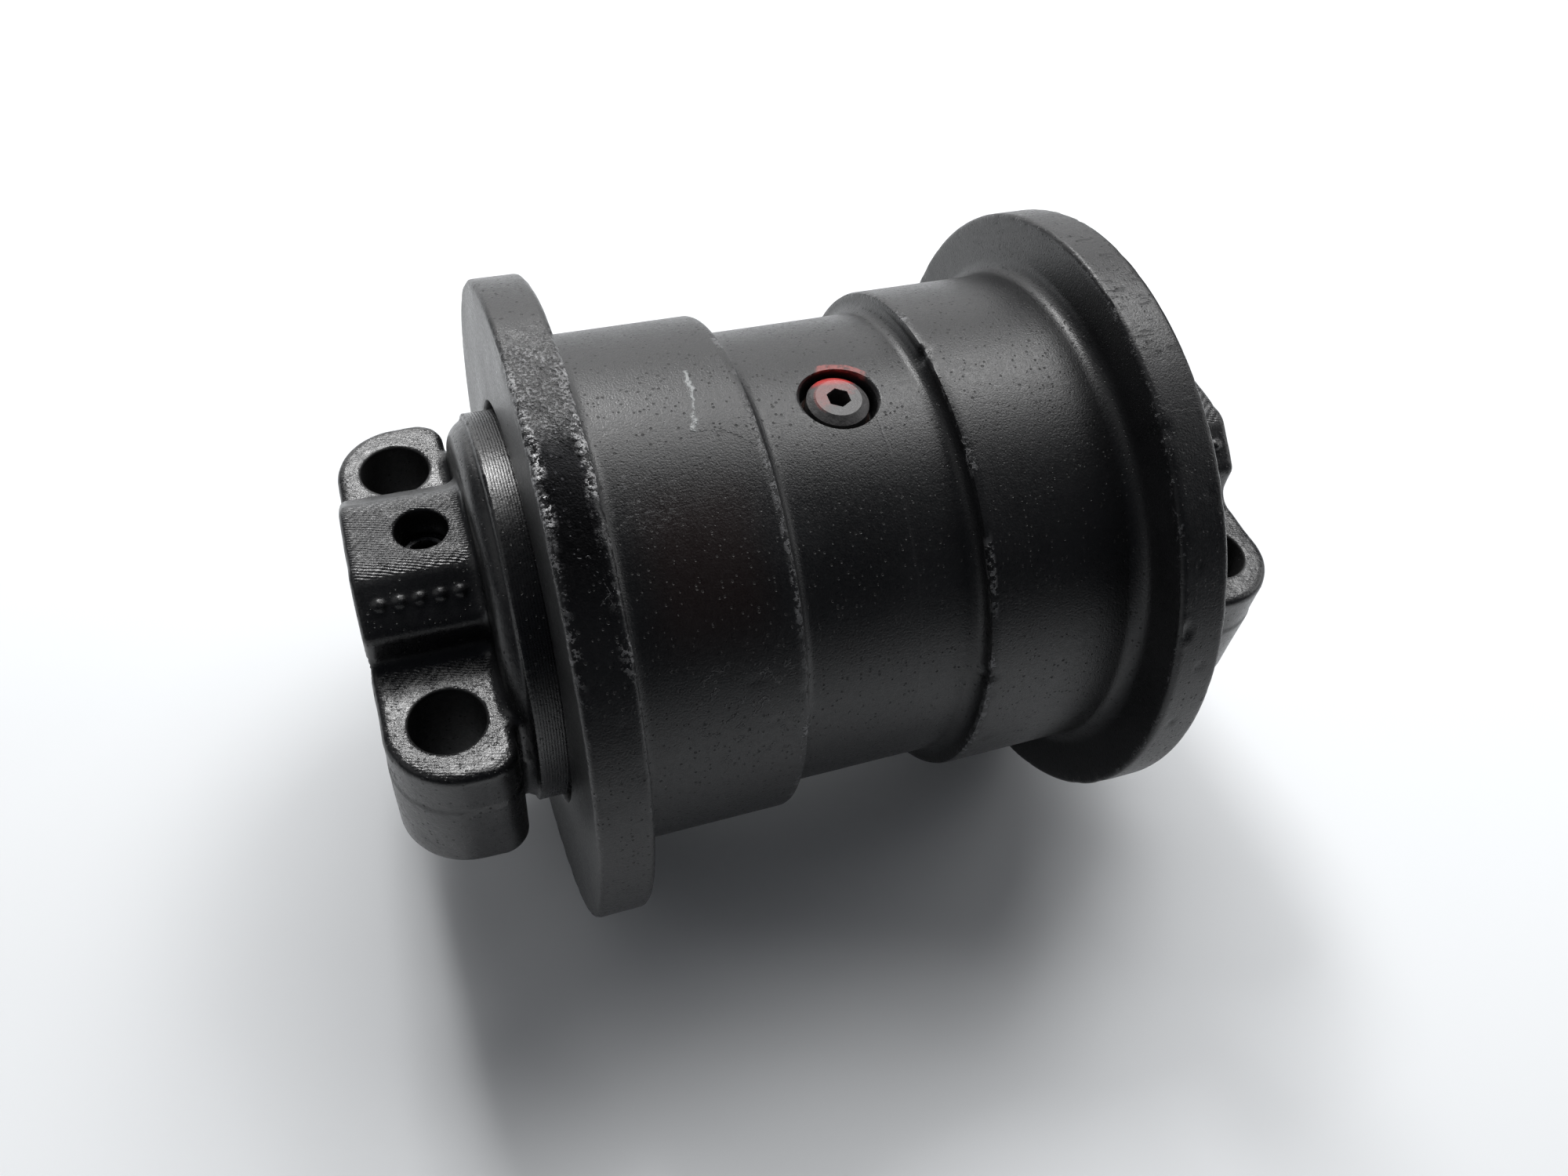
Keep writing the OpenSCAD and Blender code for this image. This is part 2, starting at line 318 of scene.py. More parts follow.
class Surface(Board):
    """The tree of one material, with a Principled surface on it."""

    def __init__(self, name: str) -> None:
        """Makes an empty material with its surface and output.

        Args:
            name: The material's name.
        """
        self.material = bpy.data.materials.new(name)
        self.material.use_nodes = True
        super().__init__(self.material.node_tree)
        self.shader = self.node("ShaderNodeBsdfPrincipled")
        shine = Wire(self, self.shader.outputs["BSDF"])
        self.node("ShaderNodeOutputMaterial", None, {"Surface": shine})

    def relief(self, height: Wire) -> None:
        """Gives the surface a relief, from heights in millimetres."""
        bump = self.node("ShaderNodeBump", None, {"Strength": 1.0, "Distance": MM, "Height": height})
        self.feed("Normal", Wire(self, bump.outputs["Normal"]))

    def feed(self, name: str, value: Feed) -> None:
        """Sets or links one input of the surface.

        Args:
            name: The input's name.
            value: A number, a colour or a wire.
        """
        if isinstance(value, Wire):
            self.tree.links.new(value.socket, self.shader.inputs[name])
        elif isinstance(value, tuple):
            self.shader.inputs[name].default_value = (*value, 1.0)
        else:
            self.shader.inputs[name].default_value = value


# ------------------------------------------------------------------- finishes

BARREL_R = 70.0
TREAD_R = 76.0
RIM_R = 94.0
RIM_IN_X = 73.7
RIM_MID_X = 81.05
STEP_X = 26.4
BAND_X = 96.2
BOLT_X = 117.0
BOLT_Y = 47.0
PLUG_TILT = math.radians(6.0)
PLUG_HOLE_R = 10.75
BRUSH_LEAN = math.radians(26.0)


@dataclass(frozen=True)
class Finish:
    """What every finish has: a name, a body colour, a gloss and its share of metal."""

    name: str
    colour: Colour
    roughness: float
    metallic: float = 0.0
    gleam: float = 0.5

    def make(self) -> bpy.types.Material:
        """Makes the material.

        Returns:
            The finished material.
        """
        board = Surface(self.name)
        board.feed("Base Color", self.colour)
        board.feed("Roughness", self.roughness)
        board.feed("Metallic", self.metallic)
        board.feed("Specular IOR Level", self.gleam)
        self.paint(board)
        return board.material

    def paint(self, board: Surface) -> None:
        """Adds what changes over the surface; each finish has its own."""
        raise NotImplementedError


@dataclass(frozen=True)
class Skin:
    """Colour, roughness and height of a coat, before they are used."""

    colour: Wire
    roughness: Wire
    height: Wire

    def marked(self, share: Wire, colour: Colour) -> "Skin":
        """The coat with a share of another colour on it."""
        return replace(self, colour=share.board.mix(share, self.colour, colour))

    def raised(self, height: Wire) -> "Skin":
        """The coat with a relief added to it."""
        return replace(self, height=self.height + height)

    def dulled(self, share: Wire) -> "Skin":
        """The coat with a share added to its roughness."""
        return replace(self, roughness=self.roughness + share)

    def apply(self, board: Surface) -> None:
        """Feeds the three to a surface.

        Args:
            board: The material's board.
        """
        board.feed("Base Color", self.colour)
        board.feed("Roughness", self.roughness.held())
        board.relief(self.height)


@dataclass(frozen=True)
class PlugView:
    """A place as seen along the oil plug's axis, in millimetres.

    out is the distance from the axis and above the height over the shaft. rise and
    aside are the two lengths across the axis, along the brush stroke and beside it.
    """

    out: Wire
    above: Wire
    rise: Wire
    aside: Wire

    @classmethod
    def of(cls, board: Board, place: Wire) -> "PlugView":
        """Turns a place into the plug's view.

        Args:
            board: The material's board.
            place: Place in millimetres.

        Returns:
            The view.
        """
        x, y, z = board.split(place)
        across = y * math.cos(PLUG_TILT) + z * math.sin(PLUG_TILT)
        above = z * math.cos(PLUG_TILT) - y * math.sin(PLUG_TILT)
        lean, upright = math.sin(BRUSH_LEAN), math.cos(BRUSH_LEAN)
        out = board.across(x, across)
        return cls(out, above, across * upright + x * lean, x * upright - across * lean)


@dataclass(frozen=True)
class BlackPaint(Finish):
    """Thin satin black paint, with its fine peel, pits darkened as painted shade, and dust."""

    peel: float = 0.04
    pit: float = 0.1
    dust: Colour = (0.42, 0.43, 0.45)
    pit_shade: Colour = (0.002, 0.002, 0.002)

    def coat(self, board: Board, place: Wire) -> Skin:
        """Lays the plain coat.

        Args:
            board: The material's board.
            place: Place in millimetres.

        Returns:
            The coat, for local marks to be added to.
        """
        broad = board.noise(place, 22.0, 3.0)
        grain = board.noise(place, 1.4, 3.0, 0.6)
        fine = board.noise(place, 0.55, 2.0, 0.6)
        pits = board.spots(place, 1.35, 0.46, 0.65)
        specks = board.spots(place, 6.0, 0.3, 0.16) * board.noise(place, 30.0).fade(0.4, 0.6)
        faded = tuple(1.5 * c for c in self.colour)
        roughness = self.roughness + (broad - 0.5) * 0.16 + (grain - 0.5) * 0.24
        roughness = roughness + (fine - 0.5) * 0.3 + specks * 0.3 + pits * 0.25
        height = grain * self.peel + fine * (2.6 * self.peel) - pits * self.pit
        skin = Skin(board.mix(broad.fade(0.35, 0.75), self.colour, faded), roughness, height)
        # The pits get painted shade; the pale specks are dust.
        return skin.marked(pits * 0.8, self.pit_shade).marked(specks * 0.8, self.dust)


@dataclass(frozen=True)
class Patch:
    """Where a mark lies on the shell, and its colour.

    The spans are of X and of degrees of turn, from -Y towards +Z.
    """

    x: Span
    turn: Span
    colour: Colour = (0.0, 0.0, 0.0)


@dataclass(frozen=True)
class ShellSpot:
    """A place on the shell, with the measures that its marks are set out by."""

    board: Board
    place: Wire
    x: Wire
    radius: Wire
    turn: Wire

    @classmethod
    def on(cls, board: Board) -> "ShellSpot":
        """Reads the measures.

        Args:
            board: The material's board.

        Returns:
            The place with its measures.
        """
        place = board.place()
        x, y, z = board.split(place)
        turn = board.math("ARCTAN2", z, -y) * math.degrees(1.0)
        return cls(board, place, x, board.across(y, z), turn)

    def inside(self, patch: Patch) -> Wire:
        """Is 1 inside a patch, fading out at its ends."""
        return self.turn.window(*patch.turn) * self.x.window(*patch.x)

    def stretched(self, size: float, *scale: float) -> Wire:
        """Noise of three layers, drawn out by a scale along each axis."""
        return self.board.noise(self.board.vector("MULTIPLY", self.place, scale), size, 3.0, 0.6)

    def line(self, radius: float, width: float, points: Line) -> Wire:
        """A wavering line drawn round the shell.

        Args:
            radius: Radius that it is drawn at.
            width: Its width.
            points: Its places, as X and degrees of turn.

        Returns:
            1 on the line.
        """
        board = self.board
        flat = board.node("ShaderNodeCombineXYZ", None, {0: self.x, 1: self.turn * math.radians(radius)})
        waver = {"Vector": self.place, "Scale": 0.35, "Detail": 3.0}
        waver = Wire(board, board.node("ShaderNodeTexNoise", None, waver).outputs["Color"])
        shake = board.vector("SCALE", board.vector("SUBTRACT", waver, (0.5, 0.5, 0.5)), 3.2)
        chart = board.vector("ADD", Wire(board, flat.outputs[0]), shake)
        return board.stroke(chart, [(x, math.radians(turn) * radius) for x, turn in points], width)


@dataclass(frozen=True)
class ShellPaint(BlackPaint):
    """The shell's paint: scaled rim with painted glints and painted shade, scratched tread, turning lines,
    red mark at the plug.
    """

    # Pale colour of the rim's scale skin: a painted glint.
    glinting_crust: Colour = (0.30, 0.30, 0.305)
    grit: Colour = (0.07, 0.07, 0.075)
    lint: Colour = (0.16, 0.16, 0.165)
    # Pale chip colour: bared edges, partly a painted glint.
    chip: Colour = (0.15, 0.15, 0.155)
    rubbed: Colour = (0.26, 0.27, 0.27)
    run: Colour = (0.07, 0.07, 0.072)
    red: Colour = (0.26, 0.060, 0.052)
    run_x: float = 8.6
    run_turns: tuple[Span, Span] = ((-10.0, 76.0, 20.0), (64.0, 84.0, 5.0))
    crust_turn: Span = (70.0, 99.0, 12.0, 11.0)
    grit_turn: Span = (52.0, 80.0, 6.0)
    nick_turn: Span = (56.0, 112.0, 14.0)
    # Pale colours of the scale's plates and edge nibbles: painted glints.
    flake_glints: Patch = Patch((-87.0, -75.4, 2.6), (56.0, 90.0, 6.0), (0.45, 0.45, 0.455))
    nibble_glints: Patch = Patch((-87.6, -75.4, 2.6), (34.0, 63.0, 9.0), (0.24, 0.24, 0.245))
    # Dull dark metal patch on the scale: painted shade.
    scale_shade: Patch = Patch((-87.6, -74.6, 1.8), (36.0, 80.0, 24.0, 10.0), (0.010, 0.010, 0.011))
    tint: Patch = Patch((-70.0, -28.0, 14.0), (28.0, 74.0, 16.0), (0.021, 0.010, 0.008))
    scuffs: Patch = Patch((-71.0, -50.0, 7.0), (58.0, 75.0, 6.0), (0.13, 0.13, 0.133))
    blisters: Patch = Patch((-58.0, -28.0, 6.0), (4.0, 34.0, 8.0), (0.05, 0.05, 0.052))
    arc_rise: Span = (6.2, 7.8)
    arc_aside: Span = (-8.0, 6.8, 1.4)
    wrinkles: Patch = Patch((-8.0, 6.0, 3.0), (76.0, 87.0, 3.0))
    scratch: Line = ((-40.0, 94.0), (-40.5, 87.0), (-43.5, 78.0))
    scratch_tail: Line = ((-43.5, 78.0), (-36.0, 77.0), (-28.0, 72.0))
    hairs: tuple[Line, Line] = (
        ((-82.5, 55.5), (-80.0, 55.2), (-78.6, 53.2)),
        ((-79.5, 52.5), (-77.3, 51.6), (-77.0, 49.8), (-80.0, 48.6)),
    )

    def paint(self, board: Surface) -> None:
        """Lays the coat and its local marks.

        Args:
            board: The material's board.
        """
        spot = ShellSpot.on(board)
        skin = self.coat(board, spot.place)
        rim = spot.radius.fade(RIM_R - 3.5, RIM_R - 1.2)
        skin = self.left_rim(board, spot, skin, rim * spot.x.fade(-RIM_IN_X + 3.0, -RIM_IN_X - 0.5))
        skin = self.right_rim(spot, skin, rim * spot.x.fade(RIM_IN_X + 0.5, RIM_IN_X + 2.0))
        skin = self.edges(spot, skin, rim)
        skin = self.tread(spot, skin)
        skin = self.barrel(spot, skin)
        skin.marked(self.red_mark(spot), self.red).apply(board)

    def left_rim(self, board: Surface, spot: ShellSpot, skin: Skin, rim: Wire) -> Skin:
        """Puts scale on the left rim, with painted glints on its rough skin, plates and edge nibbles, a
        dull dark patch of painted shade, and lint.

        Args:
            board: The material's board.
            spot: The place.
            skin: The coat so far.
            rim: 1 on the left rim.

        Returns:
            The marked coat.
        """
        place = spot.place
        # The scale skin, its plates and its edge nibbles are real relief; their pale colours are painted
        # glints.
        glinting_crust = rim * spot.turn.window(*self.crust_turn)
        clumps = board.noise(place, 7.0).fade(0.36, 0.56)
        torn = board.noise(place, 1.8, 4.0, 0.7).fade(0.47, 0.5)
        glinting_flakes = rim * self.along_edges(spot, self.flake_glints) * clumps * torn
        grit = board.noise(place, 0.85, 3.0, 0.65)
        sparse = 0.35 + board.noise(place, 4.0, 3.0).fade(0.35, 0.62) * 0.65
        small = board.noise(place, 1.6, 4.0, 0.7).fade(0.54, 0.57)
        glinting_nibbles = rim * self.along_edges(spot, self.nibble_glints) * clumps * small
        loose = rim * spot.turn.window(*self.grit_turn) * board.spots(place, 1.2, 0.5, 0.4)
        # A dull dark metal patch: painted shade that keeps the key light's reflection off this part of the
        # scale.
        scale_shade = rim * spot.inside(self.scale_shade)
        board.feed("Metallic", scale_shade * 0.9)
        skin = skin.marked(glinting_nibbles * 0.7, self.nibble_glints.colour).marked(scale_shade, self.scale_shade.colour)
        skin = skin.marked(glinting_flakes * grit.fade(0.36, 0.56), self.flake_glints.colour)
        skin = skin.marked(glinting_crust * grit.fade(0.5, 0.58) * sparse * 0.7, self.glinting_crust)
        skin = skin.marked(loose * 0.5, self.grit).dulled(glinting_crust * -0.1)
        skin = skin.raised(glinting_nibbles * 0.16 + glinting_crust * (grit * 0.6) + glinting_flakes * (0.22 + grit * 0.4))
        lint = board.math("MAXIMUM", *(spot.line(RIM_R, 0.45, hair) for hair in self.hairs)) * rim
        return skin.raised(loose * 0.14 + lint * 0.07).marked(lint * 0.3, self.lint)

    @staticmethod
    def along_edges(spot: ShellSpot, patch: Patch) -> Wire:
        """Is 1 within the patch's turn, on the two strips beside its span of X."""
        return spot.turn.window(*patch.turn) * (1 - spot.x.window(*patch.x))

    def right_rim(self, spot: ShellSpot, skin: Skin, rim: Wire) -> Skin:
        """Scores the right rim with fine nicks along X.

        Args:
            spot: The place.
            skin: The coat so far.
            rim: 1 on the right rim.

        Returns:
            The marked coat.
        """
        nicks = spot.stretched(1.5, 0.22, 1.0, 1.0).fade(0.56, 0.6)
        patchy = spot.board.noise(spot.place, 8.0).fade(0.42, 0.56)
        nicks = rim * spot.turn.window(*self.nick_turn) * nicks * patchy
        return skin.raised(nicks * -0.1).dulled(nicks * 0.2)

    def edges(self, spot: ShellSpot, skin: Skin, rim: Wire) -> Skin:
        """Chips the paint off the treads' and the rims' edges; the pale chips are partly a painted glint.

        Args:
            spot: The place.
            skin: The coat so far.
            rim: 1 on both rims.

        Returns:
            The marked coat.
        """
        board, radius = spot.board, spot.radius
        edge = abs(abs(spot.x) - STEP_X - 0.9).fade(1.7, 0.5)
        edge = edge * radius.fade(TREAD_R - 2.2, TREAD_R - 0.6) * radius.fade(TREAD_R + 2.0, TREAD_R + 1.0)
        rim_edge = rim * abs(abs(spot.x) - RIM_MID_X).fade(5.6, 6.8)
        torn = board.noise(spot.place, 1.7, 3.0, 0.65)
        patchy = board.noise(spot.place, 13.0).fade(0.4, 0.62)
        # The pale chips are chipped paint, partly a painted glint along the edges.
        chips = edge * patchy * torn.fade(0.5, 0.56) + rim_edge * torn.fade(0.6, 0.65) * 0.7
        return skin.marked(chips * 0.7, self.chip).raised(chips * -0.16)

    def tread(self, spot: ShellSpot, skin: Skin) -> Skin:
        """Puts the red tint, the long scratch, scuffs and blisters on the left tread.

        Args:
            spot: The place.
            skin: The coat so far.

        Returns:
            The marked coat.
        """
        board, place = spot.board, spot.place
        tread = spot.radius.window(TREAD_R - 1.5, TREAD_R + 3.0, 0.5)
        scratch = spot.line(TREAD_R, 1.9, self.scratch)
        hair = spot.line(TREAD_R, 0.6, self.scratch_tail) * tread
        worn = board.noise(place, 0.9, 2.0).fade(0.3, 0.5)
        scuffed = board.vector("MULTIPLY", place, (1.0, 2.2, 2.2))
        scuffs = spot.inside(self.scuffs) * tread * board.noise(scuffed, 2.2, 4.0, 0.7).fade(0.58, 0.62)
        ridge = board.noise(place, 3.0, 2.0)
        ridge = ridge.fade(0.6, 0.63) * ridge.fade(0.68, 0.65) * spot.inside(self.blisters) * tread
        skin = skin.marked(spot.inside(self.tint) * 0.4, self.tint.colour)
        skin = skin.marked(scratch * tread * (0.4 + worn * 0.5), self.rubbed)
        skin = skin.raised(scratch * tread * (0.08 + scratch * worn * 0.1) - hair * 0.1)
        skin = skin.marked(scuffs * 0.6, self.scuffs.colour).raised(scuffs * 0.1)
        return skin.marked(ridge * 0.5, self.blisters.colour).raised(ridge * 0.14)

    def barrel(self, spot: ShellSpot, skin: Skin) -> Skin:
        """Adds turning lines, a run of paint and the wrinkles below the plug.

        Args:
            spot: The place.
            skin: The coat so far.

        Returns:
            The marked coat.
        """
        board, place = spot.board, spot.place
        rings = board.noise(board.vector("MULTIPLY", place, (1.0, 0.02, 0.02)), 0.9, 3.0)
        barrel = spot.radius.window(BARREL_R - 1.5, BARREL_R + 2.0, 0.5)
        long_run, short_run = (spot.turn.window(*span) for span in self.run_turns)
        wavering = spot.x - self.run_x + board.noise(place, 6.0) * 0.8
        run = abs(wavering).fade(0.6, 0.1) * barrel * (short_run + long_run * 0.2)
        wrinkles = spot.inside(self.wrinkles) * barrel * spot.stretched(1.6, 1.0, 1.0, 1.6)
        skin = skin.raised((rings - 0.5) * 0.03 + run * 0.06 + wrinkles * 0.5)
        return skin.marked(run * 0.4, self.run)

    def red_mark(self, spot: ShellSpot) -> Wire:
        """The brush of red paint on the +Y edge of the plug's recess.

        Args:
            spot: The place.

        Returns:
            The share of red.
        """
        board, place = spot.board, spot.place
        view = PlugView.of(board, place)
        out = view.out + (board.noise(place, 2.5) - 0.5)
        ring = out.window(PLUG_HOLE_R - 0.3, PLUG_HOLE_R + 2.5, 0.5)
        arc = view.rise.fade(*self.arc_rise) * view.aside.window(*self.arc_aside)
        worn = board.noise(place, 1.2, 3.0).fade(0.2, 0.62)
        return ring * arc * view.above.fade(BARREL_R - 1.9, BARREL_R - 1.2) * worn * 0.95


@dataclass(frozen=True)
class CastPaint(BlackPaint):
    """The collars' paint, over sand-cast skin and over turned bands."""

    peel: float = 0.02
    sand: float = 0.12
    row_y: float = 1.3
    row_x: float = 2.9
    turned_r: Span = (53.0, 54.0)
    ring_x: Span = (102.6, 101.2)
    slope_y: Span = (13.0, 27.0, 0.8)
    slope_z: Span = (26.0, 28.0)
    block_y: Span = (38.0, 27.0)
    bolt_r: Span = (10.6, 10.15)
    groove: float = 0.75
    # Pale colour put on the sand grain of faces that face up: a painted highlight from the light above.
    worn: Colour = (0.085, 0.085, 0.088)
    # Painted shade on the walls of the bolt holes.
    bore_shade: Colour = (0.004, 0.004, 0.004)

    def paint(self, board: Surface) -> None:
        """Lays the coat over the sand grain, the turned band and the bored holes, with a painted highlight
        on up-facing grain and painted shade in the bolt holes.

        Args:
            board: The material's board.
        """
        place = board.place()
        x, y, z = board.split(place)
        turned = board.across(y, z).fade(*self.turned_r)
        band = abs(x).fade(BAND_X + 0.3, BAND_X - 0.3) * turned
        ring = abs(x).fade(*self.ring_x) * turned
        bored = self.bored(board, x, y)
        slope = abs(y).window(*self.slope_y) * z.fade(*self.slope_z)
        rough = board.facing()[2].fade(0.8, 0.95) * (1 - ring) * (1 - bored) * (1 - slope)
        lumps = board.noise(place, 2.6, 2.0)
        grain = self.grain(board, place, x, y)
        smooth = board.noise(place, 11.0).fade(0.52, 0.62) * (1 - self.inner(y)) * 0.5
        relief = (grain * (1 - smooth) + (lumps - 0.5) * 0.4) * self.sand
        cast = (lumps - 0.5) * 0.1 + (board.noise(place, 0.8, 2.0) - 0.5) * 0.04
        grooves = board.math("SINE", abs(x) * (math.tau / self.groove) + board.noise(place, 7.0) * 3.0)
        grooves = grooves * 0.012 + board.noise(place, 1.0, 2.0, 0.6) * 0.05
        skin = self.coat(board, place)
        skin = skin.raised(rough * relief + cast * (1 - band) + band * grooves)
        # Painted highlight on the up-facing grain, then painted shade in the bolt holes.
        skin = skin.marked(rough * grain.fade(0.0, 0.5) * 0.6, self.worn).marked(bored, self.bore_shade)
        skin.dulled(bored * 0.3 - rough * 0.08 - band * 0.04).apply(board)

    def inner(self, y: Wire) -> Wire:
        """Is 1 near the raised block, and 0 out on the lugs."""
        return abs(y).fade(*self.block_y)

    def grain(self, board: Board, place: Wire, x: Wire, y: Wire) -> Wire:
        """Height of the sand and of the rows that the mould left, around 0.

        Args:
            board: The material's board.
            place: Place in millimetres.
            x: Place along X.
            y: Place along Y.

        Returns:
            The height, to be scaled by the depth of the sand.
        """
        drift = board.noise(place, 6.0) * 4.0
        rows = board.math("SINE", y * (math.tau / self.row_y) + drift)
        dashes = board.math("SINE", x * (math.tau / self.row_x) + y * (math.pi / self.row_y) + drift)
        deep = self.inner(y) * 0.8 + board.noise(place, 5.0).fade(0.42, 0.6) * 0.3
        return rows * dashes * deep + (board.noise(place, 1.0, 3.0, 0.65) - 0.5) * 1.8

    def bored(self, board: Board, x: Wire, y: Wire) -> Wire:
        """Is 1 next to a bolt hole's axis, fading out past its wall."""
        return board.across(abs(x) - BOLT_X, abs(y) - BOLT_Y).fade(*self.bolt_r)


@dataclass(frozen=True)
class TurnedMetal(Finish):
    """Bare metal turned round X, with cutter lines and stains."""

    line: float = 0.5
    depth: float = 0.012
    stain: Colour = (0.2, 0.17, 0.13)
    overspray: Colour = (0.011, 0.011, 0.012)
    painted_past: Optional[float] = None

    def paint(self, board: Surface) -> None:
        """Lays cutter lines, stains and, past a given X, the black overspray.

        Args:
            board: The material's board.
        """
        place = board.place()
        x, y, z = board.split(place)
        radius = board.across(y, z)
        lines = board.math("SINE", (x + radius) * (math.tau / self.line) + board.noise(place, 9.0) * 2.0)
        fine = board.noise(place, 0.5, 3.0) - 0.5
        stains = board.noise(place, 11.0, 4.0, 0.6).fade(0.5, 0.8)
        roughness = self.roughness + stains * 0.2 + fine * 0.2
        colour = board.mix(stains * 0.5, self.colour, self.stain)
        skin = Skin(colour, roughness, lines * self.depth + fine * self.depth)
        if self.painted_past is not None:
            paint = abs(x).fade(self.painted_past - 0.3, self.painted_past)
            skin = skin.marked(paint, self.overspray).dulled(paint * 0.12)
            board.feed("Metallic", (1 - paint) * self.metallic)
        skin.apply(board)


@dataclass(frozen=True)
class SpringSteel(Finish):
    """Blackened spring steel, rubbed bright along its edges."""

    top: float = 29.6
    bright: Colour = (0.85, 0.85, 0.86)

    def paint(self, board: Surface) -> None:
        """Lays the blackened grain and the rubbed end.

        Args:
            board: The material's board.
        """
        place = board.place()
        z = board.split(place)[2]
        grain = board.noise(place, 0.6, 3.0)
        rubbed = z.fade(self.top - 2.2, self.top - 0.4) * board.noise(place, 1.6).fade(0.3, 0.6)
        colour = board.mix(rubbed * 0.85, self.colour, self.bright)
        Skin(colour, self.roughness + (grain - 0.5) * 0.25, grain * 0.02).apply(board)


@dataclass(frozen=True)
class MouldedRubber(Finish):
    """Black rubber with fine bloom."""

    bloomed: Colour = (0.07, 0.07, 0.07)

    def paint(self, board: Surface) -> None:
        """Lays the bloom and the fine skin.

        Args:
            board: The material's board.
        """
        place = board.place()
        bloom = board.noise(place, 5.0, 4.0, 0.65)
        colour = board.mix(bloom.fade(0.45, 0.8) * 0.5, self.colour, self.bloomed)
        height = board.noise(place, 0.5, 2.0) * 0.015
        Skin(colour, self.roughness + (bloom - 0.5) * 0.2, height).apply(board)


@dataclass(frozen=True)
class PlugPaint(Finish):
    """The oil plug's grey-black paint with a rub of red on its +Y side."""

    flat: float = 69.6
    socket_r: Span = (3.6, 3.0)
    red_aside: Span = (-8.6, 4.4, 2.2)
    faded: Colour = (0.12, 0.116, 0.116)
    wash: Colour = (0.27, 0.085, 0.078)
    red: Colour = (0.50, 0.032, 0.028)
    # Painted shade down in the hex socket.
    socket: Colour = (0.03, 0.024, 0.022)

    def paint(self, board: Surface) -> None:
        """Lays the paint, the red rub and painted shade down in the hex socket.

        Args:
            board: The material's board.
        """
        place = board.place()
        view = PlugView.of(board, place)
        blotch = board.noise(place, 1.5, 3.0, 0.65)
        roughness = self.roughness + (blotch - 0.5) * 0.5
        height = board.noise(place, 0.5, 3.0) * 0.08 + blotch * 0.12
        skin = Skin(board.mix(blotch.fade(0.35, 0.7) * 0.5, self.colour, self.faded), roughness, height)
        top = view.above.fade(self.flat - 0.5, self.flat - 0.2)
        wash = (view.rise * 0.75 - view.aside + (blotch - 0.5) * 9.0).fade(-2.5, 2.0) * top
        bright = (view.rise - view.aside * 0.35).fade(4.4, 6.6) * view.aside.window(*self.red_aside)
        bright = bright * view.above.fade(self.flat - 3.4, self.flat - 2.4)
        # Darker down in the hex socket: painted shade in the recess.
        socket = view.out.fade(*self.socket_r) * view.above.fade(self.flat - 0.1, self.flat - 0.9)
        skin = skin.marked(wash * (0.2 + blotch * 0.7), self.wash).marked(bright * 0.85, self.red)
        skin.marked(socket * 0.7, self.socket).apply(board)


@dataclass(frozen=True)
class PaleFloor(Finish):
    """The plain pale floor."""

    def paint(self, board: Surface) -> None:
        """Adds the faintest unevenness, so that the floor isn't one number."""
        cloud = board.noise(board.place(), 900.0)
        board.feed("Base Color", board.mix(cloud, self.colour, tuple(0.97 * c for c in self.colour)))


# --------------------------------------------------------------------- shapes


class Grain:
    """Seeded smooth noise in space, from -1 to 1."""

    SIDE = 32

    def __init__(self, seed: int) -> None:
        """Draws the lattice of random numbers."""
        draw = np.random.default_rng(seed)
        self.lattice = draw.uniform(-1.0, 1.0, (self.SIDE,) * 3)

    def at(self, points: Points, size: float) -> Points:
        """Reads the noise.

        Args:
            points: Places, one row each.
            size: Distance between two lattice points.

        Returns:
            One number for each place.
        """
        scaled = points / size
        base = np.floor(scaled).astype(int)
        share = scaled - base
        share = share * share * (3 - 2 * share)
        total = np.zeros(len(points))
        for corner in np.ndindex(2, 2, 2):
            picked = (base + corner) % self.SIDE
            weight = np.prod(np.where(corner, share, 1 - share), axis=1)
            total += weight * self.lattice[picked[:, 0], picked[:, 1], picked[:, 2]]
        return total

    def layers(self, points: Points, size: float, count: int = 3) -> Points:
        """Sums layers of noise, each half the size and strength of the last.

        Args:
            points: Places, one row each.
            size: Size of the first layer.
            count: Number of layers.

        Returns:
            One number for each place, about from -1 to 1.
        """
        total = np.zeros(len(points))
        for layer in range(count):
            total += self.at(points + 7.3 * layer, size / 2**layer) / 2**layer
        return total / 1.5


def ramp(values: Points, start: float, end: float) -> Points:
    """Rises smoothly from 0 at start to 1 at end, or falls if end is below start."""
    share = np.clip((values - start) / (end - start), 0.0, 1.0)
    return share * share * (3 - 2 * share)


def meet(first: Points, second: Points, radius: float) -> Points:
    """The overlap of two distance fields, with the edge between them rounded."""
    outside = np.hypot(np.maximum(first + radius, 0), np.maximum(second + radius, 0))
    return np.minimum(np.maximum(first, second), -radius) + outside


def join(first: Points, second: Points, radius: float) -> Points:
    """Two distance fields as one shape, with a fillet in the corner between them."""
    inside = np.hypot(np.maximum(radius - first, 0), np.maximum(radius - second, 0))
    return np.maximum(np.minimum(first, second), radius) - inside


def stand(name: str, data: bpy.types.ID) -> bpy.types.Object:
    """Makes an object and links it to the scene.

    Args:
        name: The object's name.
        data: Its mesh, light or camera.

    Returns:
        The object.
    """
    thing = bpy.data.objects.new(name, data)
    bpy.context.scene.collection.objects.link(thing)
    return thing


def new_mesh(name: str, points: Points, faces: Points) -> bpy.types.Object:
    """Makes a smooth-shaded object from places in millimetres.

    Args:
        name: The object's name.
        points: Corner places, one row each.
        faces: Corner numbers of the quads, one row each.

    Returns:
        The object, linked to the scene.
    """
    mesh = bpy.data.meshes.new(name)
    mesh.from_pydata((points * MM).tolist(), [], faces.tolist())
    mesh.validate()
    mesh.polygons.foreach_set("use_smooth", np.ones(len(mesh.polygons), bool))
    return stand(name, mesh)


def finish_with(thing: bpy.types.Object, material: bpy.types.Material) -> None:
    """Gives an object one material, in place of what it has."""
    thing.data.materials.clear()
    thing.data.materials.append(material)


